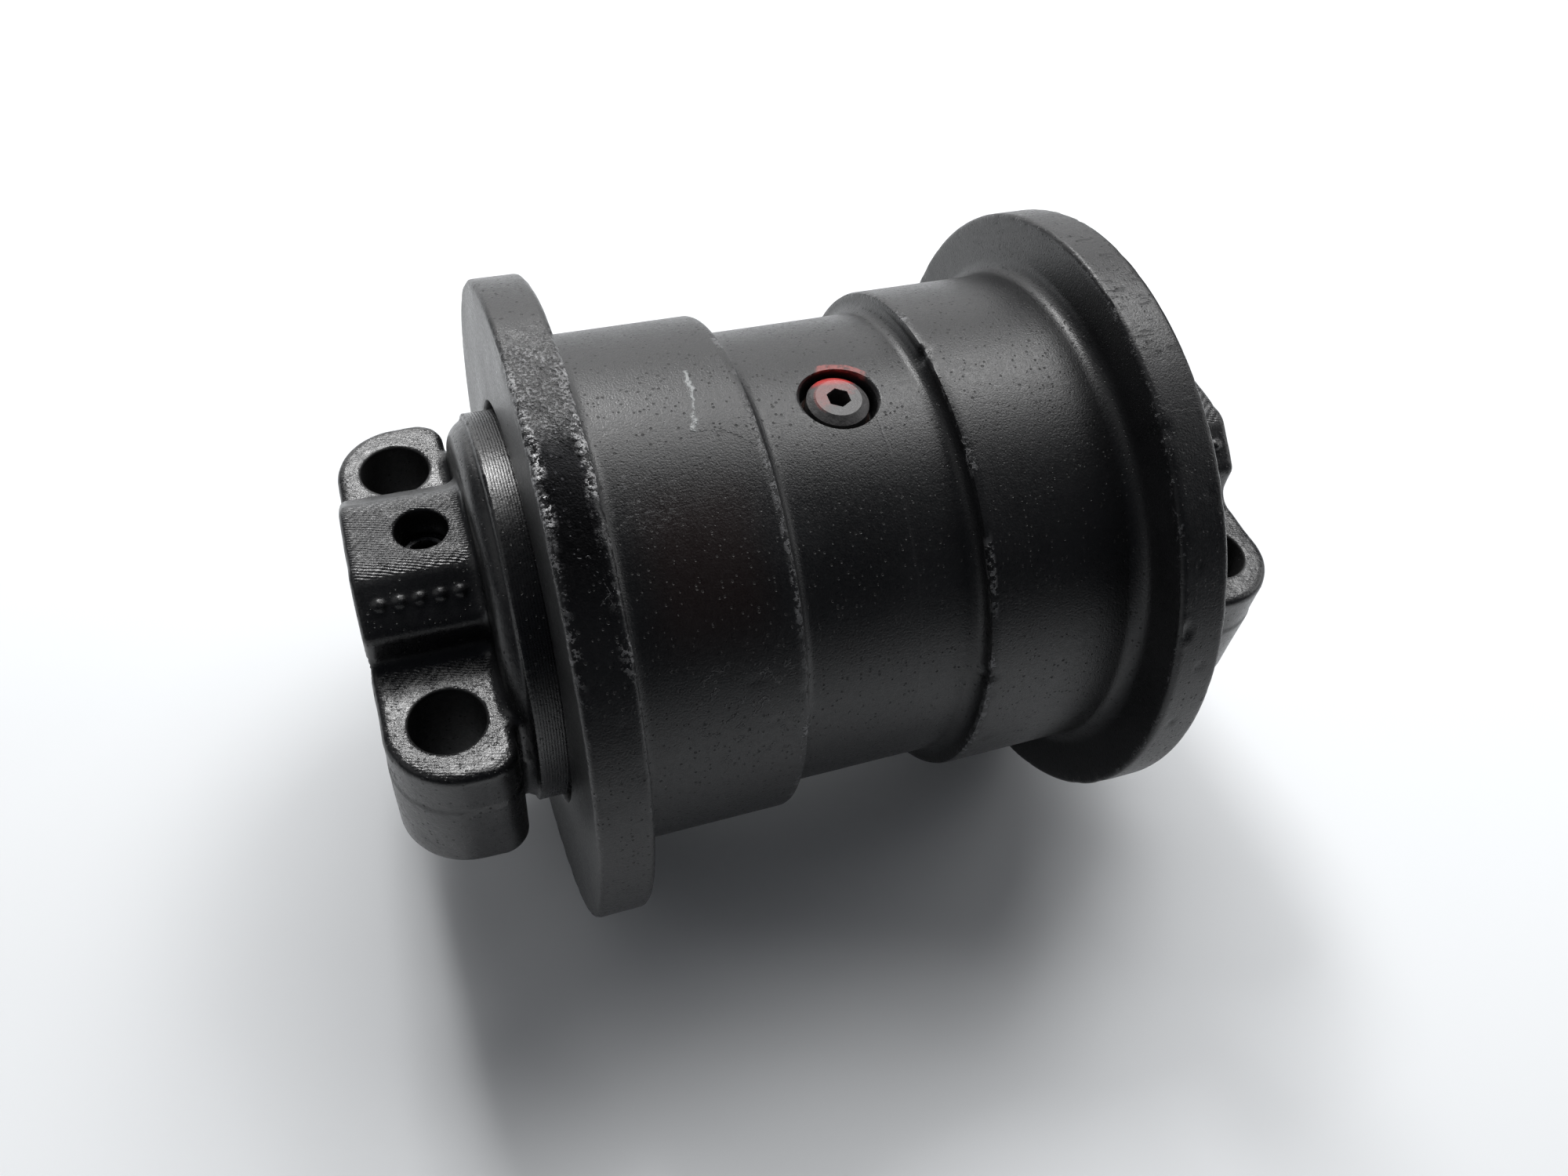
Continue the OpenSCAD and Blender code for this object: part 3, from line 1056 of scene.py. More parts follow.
@dataclass(frozen=True)
class NetMesher:
    """Turns a distance field into a closed quad mesh, one corner to each cell."""

    step: float
    settle: int = 3

    def mesh(self, field: Field, low: Sequence[float], high: Sequence[float]) -> tuple[Points, Points]:
        """Meshes the field's surface inside a box.

        Args:
            field: The distance field.
            low: Lowest corner of the box.
            high: Highest corner of the box.

        Returns:
            Corner places and quads.
        """
        sides = [np.arange(low[i], high[i] + self.step, self.step) for i in range(3)]
        shape = tuple(len(side) for side in sides)
        grid = np.stack(np.meshgrid(*sides, indexing="ij"), axis=-1).reshape(-1, 3)
        values = field(grid).reshape(shape)
        total = np.zeros((*(n - 1 for n in shape), 3))
        count = np.zeros(total.shape[:3])
        crossings = [self._cross(values, axis, total, count) for axis in range(3)]
        active = count > 0
        number = np.full(count.shape, -1)
        number[active] = np.arange(active.sum())
        points = total[active] / count[active][:, None] * self.step + np.array(low)
        faces = np.concatenate([self._quads(number, axis, *crossings[axis]) for axis in range(3)])
        return self._settled(field, points), faces

    @staticmethod
    def _cross(values: Points, axis: int, total: Points, count: Points) -> tuple[Points, Points]:
        """Adds the crossings of the grid edges along one axis to the cells round them.

        Args:
            values: The field on the grid.
            axis: Number of the axis.
            total: Sum of crossing places in each cell, added to here.
            count: Number of crossings in each cell, added to here.

        Returns:
            Grid numbers of the crossed edges, and whether each leaves the shape.
        """
        ahead = np.take(values, range(1, values.shape[axis]), axis)
        here = np.take(values, range(values.shape[axis] - 1), axis)
        crossed = (here < 0) != (ahead < 0)
        share = np.where(crossed, here / np.where(crossed, here - ahead, 1.0), 0.0)
        at = np.argwhere(crossed)
        place = at.astype(float)
        place[:, axis] += share[crossed]
        others = [i for i in range(3) if i != axis]
        for back in np.ndindex(2, 2):
            cell = at.copy()
            for other, less in zip(others, back):
                cell[:, other] -= less
            np.add.at(total, tuple(cell.T), place)
            np.add.at(count, tuple(cell.T), 1)
        return at, here[crossed] < 0

    @staticmethod
    def _quads(number: Points, axis: int, at: Points, leaving: Points) -> Points:
        """Joins the four cells round each crossed edge.

        Args:
            number: Corner number of each cell.
            axis: Axis of the edges.
            at: Grid numbers of the crossed edges.
            leaving: Whether each edge leaves the shape.

        Returns:
            The quads, facing out.
        """
        left, down = np.zeros(3, int), np.zeros(3, int)
        left[(axis + 1) % 3] = 1
        down[(axis + 2) % 3] = 1
        ring = [at - left - down, at - down, at, at - left]
        quads = np.stack([number[tuple(cell.T)] for cell in ring], axis=1)
        return np.where(leaving[:, None], quads, quads[:, ::-1])

    def _settled(self, field: Field, points: Points) -> Points:
        """Moves the corners onto the surface itself.

        Args:
            field: The distance field.
            points: Corner places.

        Returns:
            The moved corners.
        """
        for _ in range(self.settle):
            value = field(points)
            slope = field_slope(field, points)
            length = np.maximum((slope**2).sum(1), 0.05)
            move = slope * (value / length)[:, None]
            points = points - np.clip(move, -0.6 * self.step, 0.6 * self.step)
        return points


def field_slope(field: Field, points: Points, reach: float = 0.08) -> Points:
    """Slope of a field, by differences.

    Args:
        field: The distance field.
        points: Places, one row each.
        reach: Half the distance between the two readings.

    Returns:
        One direction for each place, of length about 1.
    """
    slope = np.empty_like(points)
    for axis in range(3):
        move = np.zeros(3)
        move[axis] = reach
        slope[:, axis] = (field(points + move) - field(points - move)) / (2 * reach)
    return slope


@dataclass(frozen=True)
class Chip:
    """A small knock or pit in the shell.

    x is along the shaft, turn is from -Y towards +Z in degrees.
    """

    x: float
    turn: float
    size: float
    depth: float
    long: float = 1.0


CHIPS = tuple(
    Chip(*row)
    for row in (
        (27.0, 89.0, 1.6, 0.7, 1.8), (27.2, 85.0, 1.2, 0.4, 2.5), (26.8, 14.0, 1.8, 0.9, 1.6),
        (27.4, 9.0, 1.1, 0.5, 2.2), (32.0, -9.0, 2.2, 0.5, 0.6), (26.9, 64.0, 1.0, 0.35, 2.0),
        (-27.0, 50.0, 0.9, 0.3, 2.5), (-26.9, 22.0, 1.0, 0.35, 2.0), (-36.0, 16.0, 1.6, 0.3, 1.0),
        (-33.0, 13.5, 1.1, 0.25, 1.4), (-29.5, 8.0, 1.5, 0.35, 0.5), (-41.0, 27.0, 2.2, 0.16, 1.0),
        (-45.0, 24.0, 1.2, 0.12, 1.0), (36.0, 84.0, 1.2, 0.3, 1.6), (38.0, 80.0, 1.0, 0.25, 2.0),
        (52.0, 21.0, 0.9, 0.25, 1.5), (56.0, 17.0, 1.1, 0.25, 0.8), (75.0, 58.0, 1.6, 0.6, 2.0),
        (74.6, 40.0, 1.0, 0.4, 3.0), (76.0, 24.0, 1.8, 0.7, 1.6), (82.0, 16.0, 1.4, 0.4, 1.0),
        (79.0, 3.0, 1.5, 0.5, 0.8), (84.0, 47.0, 0.9, 0.3, 1.0), (79.0, 35.0, 0.8, 0.3, 1.0),
    )
)


@dataclass(frozen=True)
class RollerShell:
    """The forged and turned shell: barrel, two treads, two flanges and the seal bores."""

    high: Vector
    tread_r: float = TREAD_R
    barrel_r: float = BARREL_R
    step_x: float = STEP_X
    step_r: float = 4.0
    lip_r: float = 1.2
    foot_r: float = 5.0
    flange_t: float = 14.7
    rim_round: float = 1.6
    bore_r: float = 60.0
    bore_floor_x: float = 80.0
    pocket_mouth_r: float = 52.5
    pocket_r: float = 51.5
    pocket_x: float = 71.5
    neck_r: float = 42.5
    bush_r: float = 34.0
    bush_x: float = 44.0
    bush_seat_x: float = 75.0
    oil_r: float = 42.0
    plug_seat: float = 61.5
    thread_r: float = 7.05
    turns: int = 400
    wave_depth: float = 0.05
    scale_depth: float = 0.26
    flake_depth: float = 0.22
    light_depth: float = 0.08
    nibble_depth: float = 0.5
    nibble_more: float = 1.1
    dent_depth: float = 0.25
    chips: tuple[Chip, ...] = CHIPS

    @property
    def half_w(self) -> float:
        """Half the width over the flanges."""
        return self.high.x / MM

    @property
    def rim_r(self) -> float:
        """Radius of the flange rims."""
        return round(self.high.y / MM, 1)

    @property
    def flange_x(self) -> float:
        """Place of the flange's inner face."""
        return self.half_w - self.flange_t

    def corners(self) -> list[tuple[float, float, float, float]]:
        """Half the shell's outline from the middle of the barrel round to the oil space.

        Returns:
            X, radius, rounding and the spacing of points before each corner.
        """
        bush = self.bush_r + 0.05
        return [
            (self.step_x, self.barrel_r, self.step_r, 2.1),
            (self.step_x, self.tread_r, self.lip_r, 1.0),
            (self.flange_x, self.tread_r, self.foot_r, 1.75),
            (self.flange_x, self.rim_r, self.rim_round, 1.5),
            (self.half_w, self.rim_r, self.rim_round, 0.95),
            (self.half_w, self.bore_r, 0.9, 3.0),
            (self.bore_floor_x, self.bore_r, 0.6, 3.0),
            (self.bore_floor_x, self.pocket_mouth_r, 0.5, 4.0),
            (self.pocket_x, self.pocket_r, 0.5, 4.5),
            (self.pocket_x, self.neck_r, 0.3, 4.5),
            (self.bush_seat_x, self.neck_r, 0.3, 4.0),
            (self.bush_seat_x, bush, 0.3, 5.0),
            (self.bush_x - 2.0, bush, 0.3, 40.0),
            (self.bush_x - 6.0, self.oil_r, 0.3, 12.0),
        ]

    def outline(self) -> Points:
        """The whole closed outline.

        Returns:
            X and radius of each point, in order round the section.
        """
        half = [(0.0, self.barrel_r)]
        corners = [(0.0, self.barrel_r, 0.0, 0.0), *self.corners(), (0.0, self.oil_r, 0.0, 40.0)]
        for before, here, after in zip(corners, corners[1:], corners[2:]):
            half += self.rounded(np.array(half[-1]), before, here, after)
        half = np.array([*half, (0.0, self.oil_r)])
        other = half[-2:0:-1] * (-1, 1)
        return np.concatenate([half, other])

    @staticmethod
    def rounded(last: Points, before: tuple, here: tuple, after: tuple) -> list[Points]:
        """Points from the last one up to and round a corner.

        Args:
            last: The last point so far.
            before: The corner before.
            here: This corner.
            after: The corner after.

        Returns:
            The new points.
        """
        corner, radius, spacing = np.array(here[:2]), here[2], here[3]
        back = np.array(before[:2]) - corner
        on = np.array(after[:2]) - corner
        back, on = back / np.hypot(*back), on / np.hypot(*on)
        half_angle = math.acos(float(np.clip(back @ on, -1, 1))) / 2
        reach = radius / math.tan(half_angle)
        start, end = corner + back * reach, corner + on * reach
        centre = corner + (back + on) / np.hypot(*(back + on)) * radius / math.sin(half_angle)
        gap = np.hypot(*(start - last))
        shares = np.linspace(0, 1, max(2, round(gap / spacing) + 1))[1:]
        straight = [last + (start - last) * share for share in shares]
        steps = max(2, round(radius * (math.pi - 2 * half_angle) / 0.9))
        first, second = start - centre, end - centre
        bend = []
        for share in np.linspace(0, 1, steps + 1)[1:]:
            mixed = first * (1 - share) + second * share
            bend.append(centre + mixed / np.hypot(*mixed) * radius)
        return straight + bend

    def wear(self, points: Points, turn: Points) -> Points:
        """Depth that scale, knocks and forging waves take off the surface.

        Args:
            points: Places on the plain surface.
            turn: Their angles from -Y towards +Z in degrees.

        Returns:
            Depths in millimetres, none below 0.
        """
        x = points[:, 0]
        radius = np.hypot(points[:, 1], points[:, 2])
        outer = ramp(radius, 61.0, 64.0)
        depth = outer * self.wave_depth * (1 + Grain(11).layers(points, 17.0, 2))
        rim = ramp(radius, self.rim_r - 4, self.rim_r - 1)
        left = ramp(x, -self.flange_x + 3, -self.flange_x)
        border = 0.35 + 0.65 * ramp(np.abs(np.abs(x) - RIM_MID_X), 3.5, 5.5)
        heavy = ramp(turn, 50, 62) * ramp(turn, 102, 90) * left * np.maximum(border, ramp(turn, 66, 78))
        light = ramp(turn, 0, 14) * ramp(turn, 56, 46) * left
        scale = ramp(Grain(12).layers(points, 6.0), -0.12, 0.12)
        fine = ramp(Grain(13).layers(points, 2.8, 2), 0.05, 0.4)
        torn = heavy * (self.scale_depth * scale + self.flake_depth * fine)
        depth += rim * (torn + light * self.light_depth * scale * fine)
        edge = np.exp(-(((np.abs(x) - self.flange_x - 1) / 2.0) ** 2))
        edge += np.exp(-(((np.abs(x) - self.half_w + 1) / 2.0) ** 2))
        nibble = np.clip(Grain(14).layers(points, 6.0) - 0.1, 0, 1)
        depth += rim * edge * nibble * (self.nibble_depth + self.nibble_more * heavy)
        dents = np.clip(Grain(15).layers(points, 4.0) - 0.35, 0, 1)
        depth += rim * ramp(x, 70, 74) * self.dent_depth * dents
        ragged = 1 + 0.35 * Grain(16).at(points, 1.3)
        for chip in self.chips:
            swing = (turn - chip.turn + 180) % 360 - 180
            around = np.radians(swing) * radius / chip.long
            away = np.hypot(x - chip.x, around) / (chip.size * ragged)
            depth += outer * chip.depth * ramp(away, 1.0, 0.35)
        return depth

    def lathe(self) -> tuple[Points, Points]:
        """Turns the outline round the shaft and takes the wear off it.

        Returns:
            Corner places and quads.
        """
        outline = self.outline()
        ahead, behind = np.roll(outline, -1, 0), np.roll(outline, 1, 0)
        along = ahead - behind
        facing = np.stack([-along[:, 1], along[:, 0]], 1)
        facing /= np.hypot(facing[:, 0], facing[:, 1])[:, None]
        angle = np.arange(self.turns) * math.tau / self.turns
        swing = np.stack([-np.cos(angle), np.sin(angle)], 1)
        count = len(outline)
        flat = np.empty((self.turns, count, 3))
        out = np.empty_like(flat)
        for target, source in ((flat, outline), (out, facing)):
            target[:, :, 0] = source[None, :, 0]
            target[:, :, 1:] = source[None, :, 1, None] * swing[:, None, :]
        flat, out = flat.reshape(-1, 3), out.reshape(-1, 3)
        turn = np.degrees(np.repeat(angle, count))
        turn = (turn + 180) % 360 - 180
        points = flat - out * self.wear(flat, turn)[:, None]
        number = np.arange(self.turns * count).reshape(self.turns, count)
        next_turn, next_point = np.roll(number, -1, 0), np.roll(number, -1, 1)
        across = np.roll(next_turn, -1, 1)
        faces = np.stack([number, next_turn, across, next_point], -1).reshape(-1, 4)
        return points, faces

    def plug_cutter(self) -> bpy.types.Object:
        """The tool that cuts the plug's recess and thread hole.

        Returns:
            A closed turned object, standing on the plug's axis.
        """
        hole, seat = PLUG_HOLE_R, self.plug_seat
        outline = [
            (0.0, self.oil_r - 4), (self.thread_r, self.oil_r - 4), (self.thread_r, seat - 0.4),
            (self.thread_r + 0.4, seat), (hole - 0.5, seat), (hole, seat + 0.5),
            (hole, self.barrel_r - 1.4), (hole + 0.15, self.barrel_r - 0.9),
            (hole + 0.6, self.barrel_r - 0.35), (hole + 1.6, self.barrel_r + 0.4), (0.0, self.barrel_r + 2),
        ]
        sides = 96
        points, faces = [(0.0, 0.0, outline[0][1])], []
        for radius, height in outline[1:-1]:
            for step in range(sides):
                angle = math.tau * step / sides
                points.append((radius * math.cos(angle), radius * math.sin(angle), height))
        points.append((0.0, 0.0, outline[-1][1]))
        rings = len(outline) - 2
        for step in range(sides):
            here, there = step + 1, (step + 1) % sides + 1
            faces.append((0, there, here))
            for ring in range(rings - 1):
                low, high = ring * sides, (ring + 1) * sides
                faces.append((here + low, there + low, there + high, here + high))
            top = (rings - 1) * sides
            faces.append((here + top, there + top, len(points) - 1))
        mesh = bpy.data.meshes.new("plug_cutter")
        mesh.from_pydata([tuple(c * MM for c in p) for p in points], [], faces)
        mesh.transform(Matrix.Rotation(PLUG_TILT, 4, "X"))
        return stand("plug_cutter", mesh)

    def build(self, finish: Finish) -> bpy.types.Object:
        """Makes the shell in place of its frame part.

        Args:
            finish: Its paint.

        Returns:
            The finished shell.
        """
        shell = new_mesh("forged_shell", *self.lathe())
        cutter = self.plug_cutter()
        boolean = shell.modifiers.new("plug_recess", "BOOLEAN")
        boolean.operation, boolean.solver, boolean.object = "DIFFERENCE", "MANIFOLD", cutter
        apply_modifiers(shell)
        bpy.data.objects.remove(cutter)
        shell.data.polygons.foreach_set("use_smooth", np.ones(len(shell.data.polygons), bool))
        shell.data.set_sharp_from_angle(angle=math.radians(38))
        finish_with(shell, finish.make())
        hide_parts("roller_shell")
        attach(shell, Body.ROLLER.value)
        LOG.info("%s: %d faces", shell.name, len(shell.data.polygons))
        return shell


def apply_modifiers(thing: bpy.types.Object) -> None:
    """Turns an object's modifiers into its own mesh.

    Args:
        thing: The object.
    """
    graph = bpy.context.evaluated_depsgraph_get()
    made = bpy.data.meshes.new_from_object(thing.evaluated_get(graph))
    thing.modifiers.clear()
    thing.data = made


@dataclass(frozen=True)
class Collar:
    """A cast end collar: two bolt lugs, the raised block, the seal housing and the saddle."""

    side: Side
    low: Vector
    high: Vector
    lug_x: float = 101.0
    lug_top: float = 16.5
    pad_z: float = 24.5
    lug_round: float = 20.0
    lug_round_in: float = 8.0
    saddle_r: float = 41.0
    block_top: float = 39.6
    block_flat: float = 12.5
    block_half: float = 26.2
    slope_z: float = 28.4
    band_r: float = 57.5
    band_x: float = BAND_X
    rim_r: float = 56.5
    shoulder_r: float = 7.5
    mouth_x: float = 81.5
    hub_x: float = 79.4
    hub_r: float = 42.0
    pocket_x: float = 90.0
    pocket_r: float = 51.5
    bore_r: float = 30.05
    bolt_x: float = BOLT_X
    bolt_y: float = BOLT_Y
    bolt_r: float = 10.0
    pin_x: float = 113.7
    pin_r: float = 7.1
    pin_low: float = 36.0
    parting_z: float = 2.0
    parting_step: float = 0.4
    pips: int = 5
    pip_pitch: float = 5.2
    pip_r: float = 2.3
    pip_sunk: float = 1.2
    first_seed: int = 30
    broad_depth: float = 0.3
    sand_depth: float = 0.04
    top_sand_depth: float = 0.06
    dent_depth: float = 0.5
    knock_depth: float = 1.1
    knock_y: float = -52.0
    knock_z: float = 6.0
    knock_size: Span = (1.6, 5.0, 2.2)
    cell: float = 0.85
    margin: float = 1.5

    @property
    def end_x(self) -> float:
        """Place of the collar's outer face, as far out as its frame part reaches."""
        return max(abs(self.low.x), abs(self.high.x)) / MM - self.parting_step

    @property
    def lug_y(self) -> float:
        """Half the width over the two lugs."""
        return self.high.y / MM - self.parting_step

    @property
    def slope_turn(self) -> float:
        """Angle at which the block's two slopes fall, in radians."""
        return math.atan2(self.block_top - self.slope_z, self.block_half - self.block_flat)

    def upper(self, p: Points, plan: Points) -> Points:
        """The lugs above the parting line, with the raised block on them.

        Args:
            p: Places, one row each.
            plan: Distances to the plan of the lugs.

        Returns:
            Distances.
        """
        y, z = np.abs(p[:, 1]), p[:, 2]
        rise = self.slope_turn
        slope = (y - self.block_flat) * math.sin(rise) + (z - self.block_top) * math.cos(rise)
        block = meet(meet(z - self.block_top, slope, 2.4), y - self.block_half, 1.8)
        shape = join(join(z - self.lug_top, block, 4.8), self.pip_row(p), 0.3)
        return np.maximum(meet(shape, plan, 2.6), -z - self.parting_z)

    def lower(self, p: Points, plan: Points) -> Points:
        """The lugs below the parting line, a little wider, with the round saddle.

        Args:
            p: Places, one row each.
            plan: Distances to the plan of the lugs.

        Returns:
            Distances.
        """
        saddle = np.hypot(p[:, 1], p[:, 2]) - self.saddle_r
        shape = join(-self.pad_z - p[:, 2], saddle, 3.0)
        shape = meet(shape, p[:, 2] - self.parting_z, 0.8)
        return meet(shape, plan - self.parting_step, 1.2)

    def housing(self, p: Points) -> Points:
        """The turned band, the cast rim behind it and the hub.

        Args:
            p: Places, one row each.

        Returns:
            Distances.
        """
        x, radius = p[:, 0], np.hypot(p[:, 1], p[:, 2])
        back = self.lug_x + 0.4
        ends = np.maximum(self.mouth_x - x, x - self.band_x)
        band = meet(radius - self.band_r, ends, 0.5)
        rim = np.maximum(meet(radius - self.rim_r, x - back, self.shoulder_r), self.mouth_x - x)
        shape = join(band, rim, 0.6)
        pocket = np.maximum(np.maximum(radius - self.pocket_r, self.hub_r - radius), x - self.pocket_x)
        shape = meet(shape, -pocket, 0.5)
        hub = meet(radius - self.hub_r, self.hub_x - x, 0.5)
        return np.minimum(shape, np.maximum(hub, x - back))

    def pip_row(self, p: Points) -> Points:
        """The row of round pips cast on the slope that faces -Y.

        Args:
            p: Places, one row each.

        Returns:
            Distances.
        """
        middle = np.array([
            (self.lug_x + self.end_x) / 2,
            -(self.block_flat + self.block_half) / 2,
            (self.block_top + self.slope_z) / 2,
        ])
        up = np.array([0.0, -math.sin(self.slope_turn), math.cos(self.slope_turn)])
        nearest = np.full(len(p), 1e3)
        for number in range(self.pips):
            shift = self.pip_pitch * (number - (self.pips - 1) / 2)
            centre = middle + (shift, 0, 0) - up * self.pip_sunk
            nearest = np.minimum(nearest, np.sqrt(((p - centre) ** 2).sum(1)) - self.pip_r)
        return nearest

    def holes(self, p: Points) -> Points:
        """The shaft bore, the bolt holes and the pin hole.

        Args:
            p: Places, one row each.

        Returns:
            Distances to the nearest hole.
        """
        x, y, z = p[:, 0], p[:, 1], p[:, 2]
        lead = np.maximum(x - self.end_x + 1.5, 0)
        bore = np.hypot(y, z) - self.bore_r - np.minimum(lead, 1.5)
        bolts = np.hypot(x - self.bolt_x, np.abs(y) - self.bolt_y) - self.bolt_r
        pin = np.maximum(np.hypot(x - self.pin_x, y) - self.pin_r, -self.pin_low - z)
        return np.minimum(np.minimum(bore, bolts), pin)

    def field(self, p: Points) -> Points:
        """The whole collar of the right side.

        Args:
            p: Places, one row each.

        Returns:
            Distances, negative inside.
        """
        x, y = p[:, 0], np.abs(p[:, 1])
        outer = meet(x - self.end_x, y - self.lug_y, self.lug_round)
        inner = meet(self.lug_x - x, y - self.lug_y, self.lug_round_in)
        plan = np.maximum(outer, inner)
        lugs = join(self.upper(p, plan), self.lower(p, plan), 0.3)
        return meet(join(lugs, self.housing(p), 3.6), -self.holes(p), 0.8)

    def casting(self, p: Points, facing: Points) -> Points:
        """Depth of the sand-cast relief, none on machined faces.

        Args:
            p: Places on the smooth surface.
            facing: The directions that it faces.

        Returns:
            Depths in millimetres, none below 0.
        """
        seed = self.first_seed + self.side.value
        x, radius = p[:, 0], np.hypot(p[:, 1], p[:, 2])
        machined = np.maximum(ramp(x, self.band_x + 0.6, self.band_x), ramp(self.holes(p), 1.0, 0.1))
        machined = np.maximum(machined, ramp(p[:, 2], -self.pad_z + 0.5, -self.pad_z) * (radius > 43))
        up = ramp(facing[:, 2], 0.8, 0.95)
        ring = ramp(x, self.lug_x + 2, self.lug_x) * ramp(radius, 50, 54)
        broad = self.broad_depth * np.clip(0.5 + Grain(seed).layers(p, 13.0, 2), 0, 1.5)
        sand = np.clip(0.5 + Grain(seed + 5).layers(p, 2.6, 2), 0, 1.4)
        sand = (self.sand_depth + self.top_sand_depth * up) * sand
        dents = self.dent_depth * np.clip(Grain(seed + 9).layers(p, 5.5, 3) - 0.42, 0, 1)
        sand, dents = sand * (1 - ring), dents * (1 - ring)
        away = (p - (self.end_x, self.knock_y, self.knock_z)) / self.knock_size
        away = np.sqrt((away**2).sum(1))
        ragged = 1 + 0.5 * Grain(seed + 2).at(p, 1.5)
        knock = self.knock_depth * ramp(away * ragged, 1.2, 0.3) * (self.side is Side.LEFT)
        return (broad + sand + dents) * (1 - machined) + knock

    def build(self, finish: Finish) -> bpy.types.Object:
        """Makes the collar in place of its frame part.

        Args:
            finish: Its paint.

        Returns:
            The finished collar.
        """
        name = self.side.name.lower()
        low = np.array([self.hub_x, -self.lug_y, -self.band_r]) - self.margin
        high = np.array([self.end_x, self.lug_y, self.band_r]) + self.margin
        points, faces = NetMesher(self.cell).mesh(self.field, low, high)
        facing = field_slope(self.field, points)
        facing /= np.maximum(np.sqrt((facing**2).sum(1)), 1e-6)[:, None]
        points = points - facing * self.casting(points, facing)[:, None]
        if self.side is Side.LEFT:
            points = points * (-1, 1, 1)
            faces = faces[:, ::-1]
        collar = new_mesh(name + "_cast_collar", points, faces)
        finish_with(collar, finish.make())
        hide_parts(name + "_collar")
        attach(collar, Body.AXLE.value)
        LOG.info("%s: %d faces", collar.name, len(faces))
        return collar


@dataclass(frozen=True)
class FramePart:
    """A group of frame parts that keep their shape and get one finish."""

    names: tuple[str, ...]
    finish: Finish
    edge: float = 0.25

    def dress(self) -> None:
        """Softens the edges of the parts and gives them their finish."""
        material = self.finish.make()
        for name in self.names:
            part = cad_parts[name]
            finish_with(part, material)
            if self.edge:
                soft = part.modifiers.new("soft_edges", "BEVEL")
                soft.width, soft.segments = self.edge * MM, 2
                soft.limit_method, soft.angle_limit = "ANGLE", math.radians(30)
                soft.harden_normals = True
            LOG.info("%s: finished as %s", name, self.finish.name)


def both(name: str) -> tuple[str, str]:
    """The left and the right part of one kind."""
    return "left_" + name, "right_" + name


# ---------------------------------------------------------------------- studio


@dataclass(frozen=True)
class Softbox:
    """A large soft light, aimed at the middle of the roller.

    swing is counted from +X towards +Y and rise from the floor, in degrees.
    """

    name: str
    swing: float
    rise: float
    distance: float
    width: float
    height: float
    power: float
    tint: Colour = (1.0, 1.0, 1.0)

    def build(self) -> None:
        """Hangs the light."""
        data = bpy.data.lights.new(self.name, "AREA")
        data.shape, data.size, data.size_y = "RECTANGLE", self.width, self.height
        data.energy, data.color = self.power, self.tint
        lamp = stand(self.name, data)
        swing, rise = math.radians(self.swing), math.radians(self.rise)
        flat = math.cos(rise)
        away = Vector((flat * math.cos(swing), flat * math.sin(swing), math.sin(rise)))
        lamp.location = away * self.distance
        lamp.rotation_euler = away.to_track_quat("Z", "Y").to_euler()


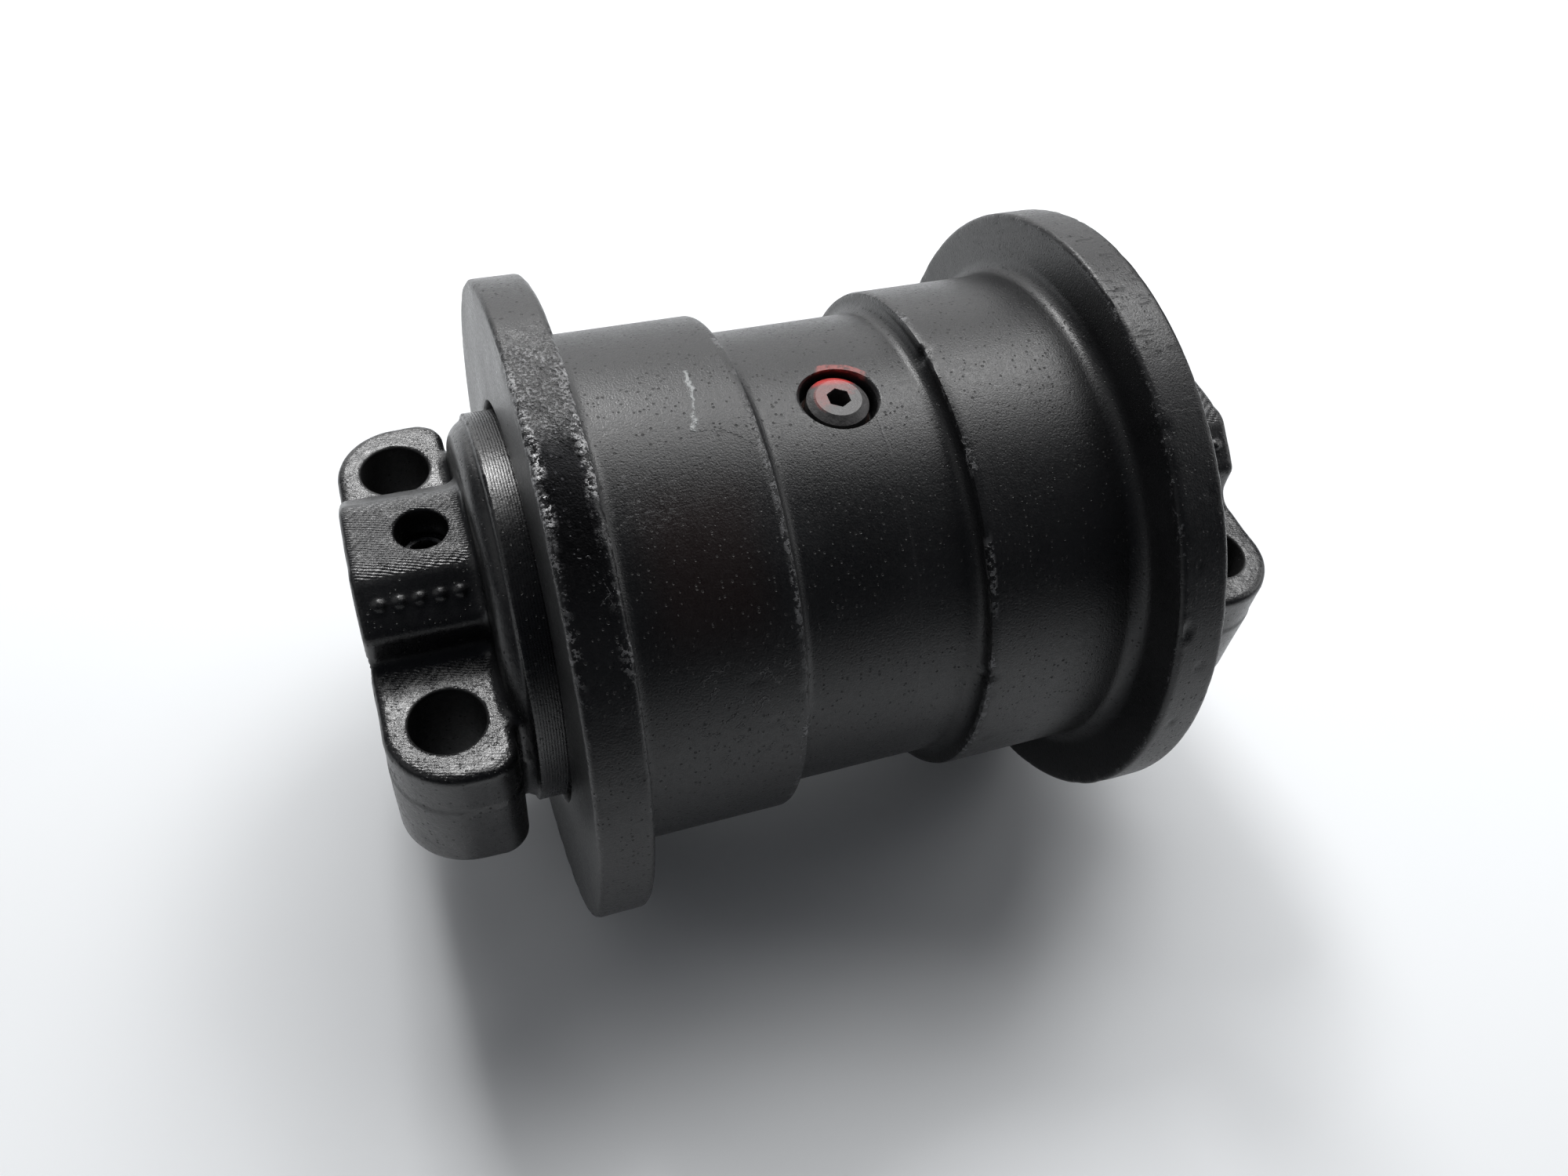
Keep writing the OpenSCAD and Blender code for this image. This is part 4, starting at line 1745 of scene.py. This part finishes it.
@dataclass(frozen=True)
class Studio:
    """Floor, lights, surroundings and camera."""

    floor_z: float
    lens: float = 28.96
    sensor: float = 36.0
    camera_at: Place = (-0.1188, -0.2406, 0.2957)
    swing: float = 25.38
    down: float = 49.72
    roll: float = 8.24
    room_seen: Colour = (0.93, 0.935, 0.94)
    room_lit: Colour = (0.031, 0.034, 0.041)
    lights: tuple[Softbox, ...] = (
        Softbox("key_softbox", 62.0, 60.0, 1.6, 1.9, 1.0, 19.0),
        Softbox("key_heart", 42.0, 54.0, 1.7, 0.6, 0.5, 6.0),
        Softbox("lug_light", 97.0, 50.0, 1.7, 0.36, 0.42, 13.0),
        Softbox("back_wall", 85.0, 18.0, 2.4, 3.6, 1.3, 23.0),
        Softbox("left_fill", 178.0, 42.0, 2.0, 1.4, 1.4, 2.2),
        Softbox("right_fill", -4.0, 24.0, 2.0, 1.2, 1.2, 7.0),
    )

    def set_floor(self) -> None:
        """Lays the floor under the flanges."""
        half = 14.0
        corners = [(-half, -half, 0), (half, -half, 0), (half, half, 0), (-half, half, 0)]
        mesh = bpy.data.meshes.new("floor")
        mesh.from_pydata(corners, [], [(0, 1, 2, 3)])
        floor = stand("floor", mesh)
        floor.location.z = self.floor_z
        finish_with(floor, PaleFloor("pale_floor", (0.868, 0.885, 0.9), 0.75).make())

    def set_surroundings(self) -> None:
        """Makes the room: pale where it is seen, dim where it only lights."""
        world = bpy.data.worlds.new("studio")
        bpy.context.scene.world = world
        world.use_nodes = True
        board = Board(world.node_tree)
        rooms = []
        for colour in (self.room_lit, self.room_seen):
            room = board.node("ShaderNodeBackground", None, {"Color": (*colour, 1.0)})
            rooms.append(Wire(board, room.outputs[0]))
        path = Wire(board, board.node("ShaderNodeLightPath").outputs["Is Camera Ray"])
        mix = board.node("ShaderNodeMixShader", None, {0: path, 1: rooms[0], 2: rooms[1]})
        board.node("ShaderNodeOutputWorld", None, {"Surface": Wire(board, mix.outputs[0])})

    def set_camera(self) -> None:
        """Stands the camera in front, above and to the left of the roller."""
        data = bpy.data.cameras.new("camera")
        data.lens, data.sensor_width = self.lens, self.sensor
        data.clip_start, data.clip_end = 0.01, 60.0
        camera = stand("camera", data)
        aim = (
            Matrix.Rotation(-math.radians(self.swing), 4, "Z")
            @ Matrix.Rotation(math.radians(90 - self.down), 4, "X")
            @ Matrix.Rotation(math.radians(self.roll), 4, "Z")
        )
        camera.matrix_world = Matrix.Translation(self.camera_at) @ aim
        bpy.context.scene.camera = camera

    def build(self) -> None:
        """Builds the studio."""
        self.set_camera()
        self.set_floor()
        self.set_surroundings()
        for light in self.lights:
            light.build()
        bpy.context.scene.view_settings.view_transform = "Standard"
        LOG.info("studio: floor at %.4f m, %d lights", self.floor_z, len(self.lights))


BLACK = (0.0066, 0.0067, 0.0073)

FRAME_PARTS = (
    FramePart(("shaft",), TurnedMetal("ground_shaft", (0.52, 0.53, 0.55), 0.26, 1.0, painted_past=131.2)),
    FramePart(
        both("bush"),
        TurnedMetal("turned_bronze", (0.70, 0.46, 0.22), 0.3, 1.0, stain=(0.30, 0.17, 0.07)),
    ),
    FramePart(both("lock_pin"), SpringSteel("spring_steel", (0.06, 0.06, 0.065), 0.36, 1.0)),
    FramePart(both("shaft_o_ring"), MouldedRubber("o_ring_rubber", (0.018, 0.018, 0.019), 0.6), 0.0),
    FramePart(
        both("shell_toric") + both("collar_toric"),
        MouldedRubber("toric_rubber", (0.022, 0.021, 0.020), 0.65),
        0.0,
    ),
    FramePart(
        both("shell_seal_ring") + both("collar_seal_ring"),
        TurnedMetal("lapped_iron", (0.42, 0.42, 0.43), 0.22, 1.0, line=0.35, depth=0.006),
    ),
    FramePart(("oil_plug",), PlugPaint("plug_paint", (0.06, 0.058, 0.058), 0.42), 0.3),
    # The washer's near-black colour and stain are its black overspray and painted shade down in the plug's
    # recess.
    FramePart(
        ("plug_washer",),
        TurnedMetal("washer_copper", (0.022, 0.014, 0.012), 0.5, 1.0, stain=(0.008, 0.007, 0.007)),
    ),
)


def main() -> None:
    """Builds the studio and every piece, in order."""
    logging.basicConfig(level=logging.INFO, format="%(name)s: %(message)s")
    Studio(floor_z=CAD_BOX[0].z - 0.0002).build()
    RollerShell(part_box("roller_shell")[1]).build(ShellPaint("shell_paint", BLACK, 0.36))
    for side in Side:
        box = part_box(side.name.lower() + "_collar")
        Collar(side, *box).build(CastPaint(side.name.lower() + "_collar_paint", BLACK, 0.34, gleam=0.65))
    for part in FRAME_PARTS:
        part.dress()


if __name__ == "__main__":
    main()
